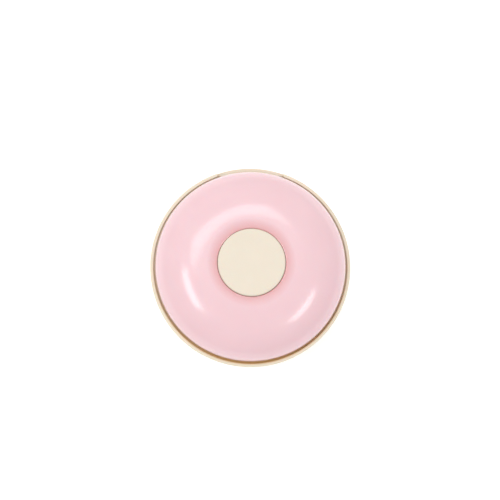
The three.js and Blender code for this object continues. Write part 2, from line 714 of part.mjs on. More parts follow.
/** The blade: a flat plate ground to an edge along its lower side. */
function blade() {
  const half = BLADE_LENGTH / 2;
  const thick = BLADE_THICKNESS / 2;
  const section = new THREE.Shape(
    [
      [-thick, bladeTop],
      [-thick, bladeBottom + BLADE_EDGE],
      [-0.03, bladeBottom],
      [0.03, bladeBottom],
      [thick, bladeBottom + BLADE_EDGE],
      [thick, bladeTop],
    ].map(([x, z]) => new THREE.Vector2(x, z)),
  );
  const ground = new THREE.ExtrudeGeometry(section, { depth: BLADE_LENGTH, bevelEnabled: false });
  let body = solidOf(ground.rotateX(Math.PI / 2).translate(0, half, 0));
  for (const y of [-BLADE_SCREW_Y, BLADE_SCREW_Y]) {
    body = body.subtract(rodX(SCREW_SHANK + FIT, -1, 1, y, clampMid, 16));
  }
  return body;
}

/** The path of the return spring's wire. */
class Coil extends THREE.Curve {
  getPoint(t, target = new THREE.Vector3()) {
    const low = cupFloorTop + FIT / 2 + SPRING_WIRE / 2;
    const high = plungerBottom - FIT / 2 - SPRING_WIRE / 2;
    const closed = SPRING_END_TURNS / SPRING_TURNS;
    const climb = THREE.MathUtils.clamp((t - closed) / (1 - 2 * closed), 0, 1);
    const flat = (SPRING_WIRE * 1.08 * Math.min(t, closed)) / closed;
    const flatTop = (SPRING_WIRE * 1.08 * Math.max(0, t - 1 + closed)) / closed;
    const room = high - low - 2 * SPRING_WIRE * 1.08;
    const a = 2 * Math.PI * SPRING_TURNS * t;
    return target.set(
      springRadius * Math.cos(a),
      springRadius * Math.sin(a),
      low + flat + room * climb + flatTop,
    );
  }
}

function returnSpring() {
  const section = new THREE.Shape(
    Array.from({ length: 6 }, (_, i) => {
      const a = (2 * Math.PI * i) / 6;
      return new THREE.Vector2((SPRING_WIRE / 2) * Math.cos(a), (SPRING_WIRE / 2) * Math.sin(a));
    }),
  );
  return solidOf(
    new THREE.ExtrudeGeometry(section, {
      steps: Math.round(SPRING_TURNS * 12),
      extrudePath: new Coil(),
      bevelEnabled: false,
    }),
  );
}

// ---------------------------------------------------------------- assembly
function piece(group, name, shape, material, place = [0, 0, 0]) {
  const mesh = new THREE.Mesh(geometryOf(shape), material);
  mesh.name = name;
  mesh.position.set(...place);
  group.add(mesh);
  return mesh;
}

const base = new THREE.Group();
piece(base, "base_shell", baseShell(), CREAM);
footPlaces.forEach(([x, y], i) => piece(base, `foot_pad_${i + 1}`, footPad(), GREY_RUBBER, [x, y, 0]));
const tray = storageTray();
piece(base, "storage_tray_right", tray, IVORY);
piece(base, "storage_tray_left", mirroredX(tray), IVORY);
piece(base, "pill_block", pillBlock(), IVORY);
const pad = gripPad();
piece(base, "grip_pad_right", pad, ROSE_TPE);
piece(base, "grip_pad_left", mirroredX(pad), ROSE_TPE);
piece(base, "anvil_strip", anvil(), NATURAL);
blockScrewPlaces.forEach(([x, y], i) =>
  piece(base, `block_screw_${i + 1}`, screw(5.6), ZINC, [x, y, blockScrewSeat - SCREW_HEAD_HEIGHT - FIT]),
);
piece(base, "hinge_pin", hingePin(), SPRING_STEEL);
piece(base, "base_magnet", magnet(spigotTop - FIT - MAGNET_HEIGHT - 0.2), NICKEL);

const lid = new THREE.Group();
piece(lid, "lid_shell", lidShell(), PINK);
piece(lid, "lid_liner", linerPlate(), IVORY);
piece(lid, "guard_cup", guardCup(), IVORY);
piece(lid, "lid_magnet", magnet(linerBottom + 0.1), NICKEL);
linerScrewPlaces.forEach(([x, y], i) =>
  piece(lid, `liner_screw_${i + 1}`, screw(5.6), ZINC, [x, y, linerBottom - 0.5]),
);
piece(lid, "return_spring", returnSpring(), SPRING_STEEL);

const button = new THREE.Group();
piece(button, "button_cap", buttonCap(), CREAM_MATT);
piece(button, "plunger", plunger(), NATURAL);
piece(button, "blade_clamp", bladeClamp(), NATURAL);
piece(button, "blade", blade(), BLADE_STEEL);
[-BLADE_SCREW_Y, BLADE_SCREW_Y].forEach((y, i) => {
  const made = piece(button, `blade_screw_${i + 1}`, screw(5.2), ZINC, [
    -clampFace - CLAMP_THICKNESS - SCREW_HEAD_HEIGHT - 0.1,
    y,
    clampMid,
  ]);
  made.rotation.y = Math.PI / 2;
});
capScrewPlaces.forEach(([x, y], i) =>
  piece(button, `cap_screw_${i + 1}`, screw(4.6), ZINC, [x, y, plungerBottom - SCREW_HEAD_HEIGHT - 0.1]),
);

const splitter = new THREE.Group();
splitter.add(base, lid, button);
export default splitter;
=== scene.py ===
"""A round press-button pill splitter: a cream base, a glossy pink ring-shaped lid and a matt cream button.

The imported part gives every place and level. Each sub-assembly below is a class that reads the levels it
needs from the frame, builds smooth surfaces in place of the faceted solids and gives them their finish.
All sizes are in millimetres until a mesh is written, which is in metres.
"""

from __future__ import annotations

import json
import logging
import math
from dataclasses import dataclass, field
from enum import Enum

import bmesh
import bpy
import numpy as np
from mathutils import Matrix, Vector


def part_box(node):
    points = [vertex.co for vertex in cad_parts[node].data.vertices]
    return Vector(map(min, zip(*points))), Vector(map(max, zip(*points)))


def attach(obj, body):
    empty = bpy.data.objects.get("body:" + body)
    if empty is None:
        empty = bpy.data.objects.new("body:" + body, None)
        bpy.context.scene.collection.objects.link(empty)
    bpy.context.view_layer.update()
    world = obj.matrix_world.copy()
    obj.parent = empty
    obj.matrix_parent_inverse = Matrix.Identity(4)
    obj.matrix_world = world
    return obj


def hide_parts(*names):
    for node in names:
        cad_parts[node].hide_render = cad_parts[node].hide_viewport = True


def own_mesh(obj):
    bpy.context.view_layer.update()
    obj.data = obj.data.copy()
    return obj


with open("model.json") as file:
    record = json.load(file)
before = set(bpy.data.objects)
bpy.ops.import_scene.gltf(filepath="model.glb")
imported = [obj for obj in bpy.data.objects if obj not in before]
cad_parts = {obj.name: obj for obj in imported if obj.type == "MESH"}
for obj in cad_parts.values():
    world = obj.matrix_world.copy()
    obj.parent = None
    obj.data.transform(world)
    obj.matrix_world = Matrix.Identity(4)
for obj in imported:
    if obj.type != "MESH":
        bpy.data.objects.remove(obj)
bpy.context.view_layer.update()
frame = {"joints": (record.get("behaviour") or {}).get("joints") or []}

LOG = logging.getLogger("pill_splitter")
MM = 0.001
AROUND = 192  # columns round a large turned piece
AROUND_SMALL = 48  # columns round a screw, pin or magnet
BEYOND = 40.0  # a level or reach past every piece, for cutters
WEDGE_REACH = 60.0  # length of a wedge's sides
Array = np.ndarray


class Body(str, Enum):
    """The bodies of the part that pieces ride on."""

    BASE = "base"
    LID = "lid"
    BUTTON = "button"


# ------------------------------------------------------------------------------- reading the frame
@dataclass(frozen=True)
class Extent:
    """The box of one node of the part, in millimetres."""

    low: Vector
    high: Vector

    @classmethod
    def of(cls, node: str) -> "Extent":
        """Reads the box of a node.

        Args:
            node: name of the node.

        Returns:
            Its box at rest.
        """
        low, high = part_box(node)
        return cls(low / MM, high / MM)

    @property
    def middle(self) -> Vector:
        """The middle of the box."""
        return (self.low + self.high) / 2

    @property
    def size(self) -> Vector:
        """The three sides of the box."""
        return self.high - self.low


def node_box(node: str) -> Extent:
    """A dataclass field that reads the box of a node when its class is made."""
    return field(default_factory=lambda: Extent.of(node))


# ------------------------------------------------------------------------------- colour and nodes
def linear(hex_colour: str) -> tuple[float, float, float, float]:
    """Turns an sRGB hex colour into linear light.

    Args:
        hex_colour: six hex digits.

    Returns:
        Red, green, blue and an alpha of one.
    """
    srgb = np.array([int(hex_colour[i : i + 2], 16) for i in (0, 2, 4)]) / 255
    light = np.where(srgb <= 0.04045, srgb / 12.92, ((srgb + 0.055) / 1.055) ** 2.4)
    return (*light.tolist(), 1.0)


def add_node(
    tree: bpy.types.NodeTree,
    kind: str,
    settings: dict[str, object] | None = None,
    **inputs: object,
) -> bpy.types.Node:
    """Adds a node with its settings, socket values and links.

    Args:
        tree: the tree to add it to.
        kind: the node's class name.
        settings: attributes of the node itself.
        **inputs: socket values or the sockets to link from. An underscore in a name stands for a space.

    Returns:
        The new node.
    """
    node = tree.nodes.new(kind)
    for name, value in (settings or {}).items():
        setattr(node, name, value)
    for name, value in inputs.items():
        if name.startswith("slot_"):
            socket = node.inputs[int(name[5:])]
        else:
            socket = node.inputs[name.replace("_", " ")]
        if isinstance(value, bpy.types.NodeSocket):
            tree.links.new(value, socket)
        else:
            socket.default_value = value
    return node


def mix_colours(
    tree: bpy.types.NodeTree, weight: bpy.types.NodeSocket, first: object, second: object
) -> bpy.types.NodeSocket:
    """Mixes two colours.

    Args:
        tree: the tree to work in.
        weight: zero for the first, one for the second.
        first: a colour or its socket.
        second: a colour or its socket.

    Returns:
        The mixed colour.
    """
    mixed = add_node(
        tree, "ShaderNodeMix", {"data_type": "RGBA"}, slot_0=weight, slot_6=first, slot_7=second
    )
    return mixed.outputs[2]


@dataclass(frozen=True)
class PaintedShadeRing:
    """Painted shade in a ring about Z: a darker tint that stands in for the shade in a groove or beside a
    raised part.

    Attributes:
        hue: sRGB hex of the painted shade.
        inner_mm: radius where it starts.
        outer_mm: radius where it has faded out.
        low_mm: height below which there is none.
        high_mm: height above which there is none.
        fade_mm: distance over which it fades at its outer side.
        behind: weight of the painted shade at the back of the ring, where the front has one.
    """

    hue: str
    inner_mm: float
    outer_mm: float
    low_mm: float
    high_mm: float
    fade_mm: float = 0.7
    behind: float = 1.0

    def over(
        self, tree: bpy.types.NodeTree, place: bpy.types.NodeSocket, colour: bpy.types.NodeSocket
    ) -> bpy.types.NodeSocket:
        """Lays the painted shade over a colour.

        The weight is one inside the ring's radii and heights, and falls off across its outer edge and
        from the front to the back.

        Args:
            tree: the material's nodes.
            place: object coordinates.
            colour: the colour without painted shade.

        Returns:
            The colour with the painted shade laid over it.
        """
        flat = add_node(
            tree, "ShaderNodeVectorMath", {"operation": "MULTIPLY"}, slot_0=place, slot_1=(1.0, 1.0, 0.0)
        )
        radius = add_node(tree, "ShaderNodeVectorMath", {"operation": "LENGTH"}, slot_0=flat.outputs[0])
        height = add_node(tree, "ShaderNodeSeparateXYZ", Vector=place)
        edges = (
            (radius.outputs["Value"], self.inner_mm - 0.1, self.inner_mm, 0.0, 1.0),
            (radius.outputs["Value"], self.outer_mm - self.fade_mm, self.outer_mm, 1.0, 0.0),
            (height.outputs["Z"], self.low_mm - 0.1, self.low_mm, 0.0, 1.0),
            (height.outputs["Z"], self.high_mm - 0.1, self.high_mm, 1.0, 0.0),
            (height.outputs["Y"], -self.outer_mm, 0.2 * self.outer_mm, 1.0, self.behind),
        )
        weight: float | bpy.types.NodeSocket = 1.0
        for value, start, stop, before, after in edges:
            step = add_node(
                tree,
                "ShaderNodeMapRange",
                Value=value,
                From_Min=start * MM,
                From_Max=stop * MM,
                To_Min=before,
                To_Max=after,
            )
            both = add_node(
                tree, "ShaderNodeMath", {"operation": "MULTIPLY"}, slot_0=weight, slot_1=step.outputs[0]
            )
            weight = both.outputs[0]
        return mix_colours(tree, weight, colour, linear(self.hue))


@dataclass(frozen=True)
class Finish:
    """A moulded, ground or plated surface: a base colour with slow and fine variation over it.

    Attributes:
        name: the finish's name.
        hue: sRGB hex of the clean surface.
        shade: sRGB hex that the slow variation leans towards.
        drift_mm: size of the slow variation in the colour.
        roughness: roughness of the clean surface.
        scatter: how far the roughness wanders either way.
        grain_mm: size of the fine relief.
        relief_mm: height of the fine relief.
        metallic: one for a metal.
        ior: index of refraction.
        coat: weight of the skin of clear resin that a polished mould leaves.
        soften: weight of light that travels under the surface.
        brush: stretch of the grain along each axis.
        glow: strength of the light that it gives off.
        painted_shade: a ring of painted shade laid over the colour, where it has one.
    """

    name: str
    hue: str
    shade: str
    drift_mm: float = 9.0
    roughness: float = 0.4
    scatter: float = 0.04
    grain_mm: float = 0.6
    relief_mm: float = 0.01
    metallic: float = 0.0
    ior: float = 1.5
    coat: float = 0.0
    soften: float = 0.0
    brush: tuple[float, float, float] = (1.0, 1.0, 1.0)
    glow: float = 0.0
    painted_shade: PaintedShadeRing | None = None

    def material(self) -> bpy.types.Material:
        """Builds the node tree, or returns the one built before.

        Returns:
            The material.
        """
        known = bpy.data.materials.get(self.name)
        if known is not None:
            return known
        made = bpy.data.materials.new(self.name)
        made.use_nodes = True
        tree = made.node_tree
        tree.nodes.clear()
        place = add_node(tree, "ShaderNodeTexCoord").outputs["Object"]
        stretched = add_node(tree, "ShaderNodeMapping", Vector=place, Scale=self.brush)
        drift = add_node(
            tree, "ShaderNodeTexNoise", Vector=place, Scale=1 / (self.drift_mm * MM), Detail=3.0
        )
        grain = add_node(
            tree,
            "ShaderNodeTexNoise",
            Vector=stretched.outputs[0],
            Scale=1 / (self.grain_mm * MM),
            Detail=4.0,
            Roughness=0.6,
        )
        colour = mix_colours(tree, drift.outputs[0], linear(self.hue), linear(self.shade))
        # Where the finish has one, a ring of painted shade is mixed over the base colour.
        if self.painted_shade is not None:
            colour = self.painted_shade.over(tree, place, colour)
        rough = add_node(
            tree,
            "ShaderNodeMapRange",
            Value=grain.outputs[0],
            To_Min=max(0.02, self.roughness - self.scatter),
            To_Max=min(1.0, self.roughness + self.scatter),
        )
        bump = add_node(
            tree,
            "ShaderNodeBump",
            Height=grain.outputs[0],
            Strength=1.0,
            Distance=self.relief_mm * MM,
        )
        shader = add_node(
            tree,
            "ShaderNodeBsdfPrincipled",
            Base_Color=colour,
            Roughness=rough.outputs[0],
            Normal=bump.outputs[0],
            Metallic=self.metallic,
            IOR=self.ior,
            Coat_Weight=self.coat,
            Coat_Roughness=0.06,
            Subsurface_Weight=self.soften,
            Subsurface_Scale=1.2 * MM,
            Emission_Color=linear(self.hue),
            Emission_Strength=self.glow,
        )
        add_node(tree, "ShaderNodeOutputMaterial", Surface=shader.outputs[0])
        return made


# Polished-mould ABS in pale pink: clear reflections, softened by a faint orange-peel skin.
PINK_GLOSS_ABS = Finish(
    "polished_abs_pink", "EBC8CD", "E6C0C6", drift_mm=14, roughness=0.2, scatter=0.03,
    grain_mm=1.6, relief_mm=0.004, coat=0.25, soften=0.12, ior=1.53,
    # Painted shade: a darker pink ring round the button's bore stands in for the shade that the raised button
    # casts on the lid.
    painted_shade=PaintedShadeRing("DBA2A3", inner_mm=12.2, outer_mm=16.4, low_mm=29.0, high_mm=31.0, fade_mm=4.0),
)
# Satin-moulded ABS in cream: broad, dull reflections on the rim and bowl.
CREAM_SATIN_ABS = Finish(
    "satin_abs_cream", "E8DDC8", "E3D7BE", drift_mm=12, roughness=0.42, scatter=0.05,
    grain_mm=0.5, relief_mm=0.006, soften=0.1, ior=1.53,
    # Painted shade: a tan-brown ring in the groove between the rim and the lid, strongest at the front and
    # faint at the back, stands in for the shade and warm bounced light in the groove.
    painted_shade=PaintedShadeRing("D2A663", inner_mm=34.3, outer_mm=36.9, low_mm=16.45, high_mm=17.75, behind=0.05),
)
# Spark-eroded mould texture in cream: matt, with an even fine grain under the thumb.
CREAM_MATT_ABS = Finish(
    "spark_textured_abs_cream", "E5DAC9", "E1D6C4", drift_mm=6, roughness=0.68, scatter=0.05,
    grain_mm=0.35, relief_mm=0.02, soften=0.08, ior=1.5,
)
# Satin ABS in ivory for the inside pieces.
IVORY_ABS = Finish(
    "satin_abs_ivory", "F3EDE0", "ECE4D4", drift_mm=10, roughness=0.45, scatter=0.05,
    grain_mm=0.4, relief_mm=0.006, soften=0.1, ior=1.53,
)
# Acetal left its natural white: slightly waxy, lets some light in.
NATURAL_ACETAL = Finish(
    "acetal_natural", "F0F0EC", "E6E7E3", drift_mm=7, roughness=0.38, scatter=0.06,
    grain_mm=0.5, relief_mm=0.004, soften=0.3, ior=1.48,
)
# Soft thermoplastic rubber in rose: matt and slightly dusty.
ROSE_RUBBER = Finish(
    "thermoplastic_rubber_rose", "DC98A4", "D38C99", drift_mm=4, roughness=0.8, scatter=0.08,
    grain_mm=0.3, relief_mm=0.015, ior=1.5,
)
# Grey foot rubber: matt, with a fine moulded grain.
GREY_RUBBER = Finish(
    "foot_rubber_grey", "8D8B87", "7C7A77", drift_mm=3, roughness=0.85, scatter=0.08,
    grain_mm=0.35, relief_mm=0.02, ior=1.5,
)
# Stainless steel ground along the blade: bright, with long fine scratches.
GROUND_STEEL = Finish(
    "stainless_steel_ground", "CFD2D6", "BFC3C8", drift_mm=5, roughness=0.24, scatter=0.08,
    grain_mm=0.5, relief_mm=0.003, metallic=1.0, brush=(1.0, 0.06, 1.0),
)
# Drawn spring wire: bright, with faint die lines.
SPRING_WIRE_STEEL = Finish(
    "spring_wire_drawn", "BEC1C6", "A9ADB3", drift_mm=2, roughness=0.28, scatter=0.08,
    grain_mm=0.3, relief_mm=0.004, metallic=1.0,
)
# Clear zinc plating on the screws: pale and slightly cloudy.
ZINC_PLATE = Finish(
    "zinc_plate_clear", "CDD0D4", "B9BDC2", drift_mm=1.5, roughness=0.32, scatter=0.1,
    grain_mm=0.25, relief_mm=0.004, metallic=1.0,
)
# Nickel plating on the magnets: bright and faintly warm.
NICKEL_PLATE = Finish(
    "nickel_plate_bright", "D8D4CB", "CBC7BE", drift_mm=2, roughness=0.16, scatter=0.05,
    grain_mm=0.4, relief_mm=0.002, metallic=1.0,
)
# Lit white floor: matt, with a faint broad mottle.
LIGHT_TABLE = Finish(
    "light_table_white", "F8F8F8", "F5F5F5", drift_mm=200, roughness=0.9, scatter=0.02, glow=0.3,
)


# ------------------------------------------------------------------------------- surfaces
def filleted(corners: list[tuple[float, float, float]], closed: bool = True, steps: int = 6) -> Array:
    """Rounds the corners of a polygon: each corner becomes an arc that touches both of its sides.

    Args:
        corners: first coordinate, second coordinate and fillet radius of each corner.
        closed: whether the last corner joins the first.
        steps: spans in each arc.

    Returns:
        Points along the rounded outline, two columns.
    """
    raw = np.array(corners, float)
    runs = []
    for i, (point, radius) in enumerate(zip(raw[:, :2], raw[:, 2])):
        end = not closed and i in (0, len(raw) - 1)
        if radius <= 0 or end:
            runs.append(point[None])
            continue
        back = raw[i - 1, :2] - point
        ahead = raw[(i + 1) % len(raw), :2] - point
        back /= np.linalg.norm(back)
        ahead /= np.linalg.norm(ahead)
        half = math.acos(np.clip(back @ ahead, -1, 1)) / 2
        if half > math.pi / 2 - 1e-3:
            runs.append(point[None])
            continue
        inward = (back + ahead) / np.linalg.norm(back + ahead)
        centre = point + inward * radius / math.sin(half)
        start = point + back * radius / math.tan(half) - centre
        stop = point + ahead * radius / math.tan(half) - centre
        turn = math.atan2(start[0] * stop[1] - start[1] * stop[0], start @ stop)
        a = np.linspace(0, turn, steps + 1)[:, None]
        side = np.array([-start[1], start[0]])
        runs.append(centre + start * np.cos(a) + side * np.sin(a))
    return np.concatenate(runs)


def ellipse_arc(
    centre: tuple[float, float], radii: tuple[float, float], start: float, stop: float, steps: int
) -> Array:
    """Points on an ellipse: centre plus radii times the cosine and sine of the angle.

    Args:
        centre: centre of the ellipse.
        radii: its two half-axes.
        start: first angle in degrees.
        stop: last angle in degrees.
        steps: spans along the arc.

    Returns:
        Points along the arc, two columns.
    """
    a = np.radians(np.linspace(start, stop, steps + 1))
    return np.stack([centre[0] + radii[0] * np.cos(a), centre[1] + radii[1] * np.sin(a)], axis=1)


def write_piece(name: str, points: Array, faces: list[Array], body: Body) -> bpy.types.Object:
    """Makes an object from points in millimetres and arrays of faces, facing outwards.

    Args:
        name: the piece's name.
        points: three columns, in millimetres.
        faces: one array for each number of corners.
        body: the body that the piece rides on.

    Returns:
        The new object, smooth-shaded with its sharp edges marked.
    """
    mesh = bpy.data.meshes.new(name)
    listed = [face for block in faces for face in block.tolist()]
    mesh.from_pydata((points * MM).tolist(), [], listed)
    work = bmesh.new()
    work.from_mesh(mesh)
    bmesh.ops.remove_doubles(work, verts=work.verts, dist=1e-7)
    bmesh.ops.dissolve_degenerate(work, edges=work.edges, dist=1e-8)
    bmesh.ops.recalc_face_normals(work, faces=work.faces)
    work.to_mesh(mesh)
    work.free()
    made = bpy.data.objects.new(name, mesh)
    bpy.context.scene.collection.objects.link(made)
    shade(made)
    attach(made, body.value)
    return made


def shade(piece: bpy.types.Object, sharp_degrees: float = 32.0) -> None:
    """Shades a piece smooth, with edges sharper than an angle kept crisp."""
    piece.data.polygons.foreach_set("use_smooth", np.ones(len(piece.data.polygons), bool))
    piece.data.set_sharp_from_angle(angle=math.radians(sharp_degrees))


def grid_faces(rows: int, columns: int, closed: bool) -> Array:
    """Faces of a grid of points whose columns join round.

    Args:
        rows: rows of points.
        columns: points in each row.
        closed: whether the last row joins the first.

    Returns:
        Four corners for each face.
    """
    i = np.arange(rows if closed else rows - 1)[:, None]
    j = np.arange(columns)[None]
    k, m = (i + 1) % rows, (j + 1) % columns
    corners = [i * columns + j, i * columns + m, k * columns + m, k * columns + j]
    return np.stack(corners, axis=-1).reshape(-1, 4)


def turned_surface(profile: Array, columns: int, closed: bool) -> tuple[Array, list[Array]]:
    """A profile turned about Z: x is radius times cosine, y is radius times sine, z is the profile's own.

    Args:
        profile: radius and height of each point.
        columns: columns round the axis.
        closed: whether the profile joins up. An open one starts and ends on the axis.

    Returns:
        Points and faces. Columns join round the axis, and an open profile's poles merge to one point.
    """
    a = np.linspace(0, 2 * math.pi, columns, endpoint=False)
    r, z = profile[:, :1], profile[:, 1:]
    points = np.stack([r * np.cos(a), r * np.sin(a), z + 0 * a], axis=-1).reshape(-1, 3)
    return points, [grid_faces(len(profile), columns, closed)]


def turned_piece(
    name: str, profile: Array, body: Body, closed: bool = True, columns: int = AROUND,
    centre: tuple[float, float] = (0.0, 0.0),
) -> bpy.types.Object:
    """A piece whose surface is a turned profile.

    Args:
        name: the piece's name.
        profile: radius and height of each point.
        body: the body it rides on.
        closed: whether the profile joins up.
        columns: columns round the axis.
        centre: where the axis stands in X and Y.

    Returns:
        The new object.
    """
    points, faces = turned_surface(profile, columns, closed)
    return write_piece(name, points + np.array([*centre, 0.0]), faces, body)


class Along(Enum):
    """The axis that a prism runs along, with the axes that its outline lies in."""

    X = (1, 2, 0)
    Y = (0, 2, 1)
    Z = (0, 1, 2)


def prism_surface(outline: Array, low: float, high: float, along: Along) -> tuple[Array, list[Array]]:
    """An outline carried straight along an axis and closed at both ends.

    Args:
        outline: two columns.
        low: where it starts on the axis.
        high: where it ends.
        along: the axis.

    Returns:
        Points and faces.
    """
    count = len(outline)
    points = np.empty((2 * count, 3))
    points[:, along.value[0]] = np.tile(outline[:, 0], 2)
    points[:, along.value[1]] = np.tile(outline[:, 1], 2)
    points[:, along.value[2]] = np.repeat([low, high], count)
    i = np.arange(count)
    j = (i + 1) % count
    sides = np.stack([i, j, j + count, i + count], axis=1)
    return points, [sides, i[None, ::-1], (i + count)[None]]


def prism_piece(
    name: str, outline: Array, low: float, high: float, along: Along, body: Body, round_mm: float = 0.2
) -> bpy.types.Object:
    """A prism with its edges rounded by a bevel.

    Args:
        name: the piece's name.
        outline: two columns.
        low: where it starts on the axis.
        high: where it ends.
        along: the axis.
        body: the body it rides on.
        round_mm: radius of the edges, or zero for none.

    Returns:
        The new object.
    """
    points, faces = prism_surface(outline, low, high, along)
    made = write_piece(name, points, faces, body)
    if round_mm > 0:
        soften_edges(made, round_mm)
    return made


def cutter(outline: Array, low: float, high: float, along: Along = Along.Z) -> bpy.types.Object:
    """A sharp-edged prism that is cut from a piece or joined to it, and does not stay.

    Args:
        outline: two columns.
        low: where it starts on the axis.
        high: where it ends.
        along: the axis.

    Returns:
        The new object.
    """
    return prism_piece("cutter", outline, low, high, along, Body.BASE, 0)


def soften_edges(piece: bpy.types.Object, width_mm: float) -> None:
    """Adds a bevel of three segments on the edges sharper than 40 degrees."""
    bevel = piece.modifiers.new("edges", "BEVEL")
    bevel.width = width_mm * MM
    bevel.segments = 3
    bevel.limit_method = "ANGLE"
    bevel.angle_limit = math.radians(40)
    bevel.harden_normals = True


def rectangle(x0: float, y0: float, x1: float, y1: float) -> Array:
    """The four corners of a rectangle."""
    return np.array([[x0, y0], [x1, y0], [x1, y1], [x0, y1]])


def circle(centre: tuple[float, float], radius: float, steps: int = AROUND_SMALL) -> Array:
    """Points round a circle, the last a step before the first."""
    return ellipse_arc(centre, (radius, radius), 0, 360, steps)[:-1]


def disc_piece(
    name: str, extent: Extent, body: Body, radius: float, edge: float = 0.2
) -> bpy.types.Object:
    """A short cylinder with rounded rims, standing where a node's box stands.

    Args:
        name: the piece's name.
        extent: the node's box.
        body: the body it rides on.
        radius: its radius.
        edge: radius of its rims.

    Returns:
        The new object.
    """
    low, high = extent.low.z, extent.high.z
    profile = filleted([(0, low, 0), (radius, low, edge), (radius, high, edge), (0, high, 0)], closed=False)
    return turned_piece(name, profile, body, False, AROUND_SMALL, tuple(extent.middle[:2]))


def carve(
    piece: bpy.types.Object, cutters: list[bpy.types.Object], how: str = "DIFFERENCE"
) -> bpy.types.Object:
    """Cuts or joins solids into a piece and removes them.

    Args:
        piece: the piece that stays.
        cutters: the solids that go.
        how: DIFFERENCE, UNION or INTERSECT.

    Returns:
        The piece with its new mesh.
    """
    for cutter in cutters:
        change = piece.modifiers.new("carve", "BOOLEAN")
        change.operation = how
        change.object = cutter
        change.solver = "EXACT"
    bpy.context.view_layer.update()
    shaped = bpy.data.meshes.new_from_object(piece.evaluated_get(bpy.context.evaluated_depsgraph_get()))
    piece.modifiers.clear()
    piece.data = shaped
    for cutter in cutters:
        bpy.data.objects.remove(cutter)
    shade(piece)
    return piece


def dress(piece: bpy.types.Object, finish: Finish, slot: str, *nodes: str) -> None:
    """Gives a piece its finish, and hides the nodes that it stands for.

    Args:
        piece: the piece.
        finish: its finish.
        slot: the record's material slot; not used.
        *nodes: nodes that it replaces.
    """
    piece.data.materials.clear()
    piece.data.materials.append(finish.material())
    if nodes:
        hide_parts(*nodes)
    LOG.info("%s: %d faces", piece.name, len(piece.data.polygons))


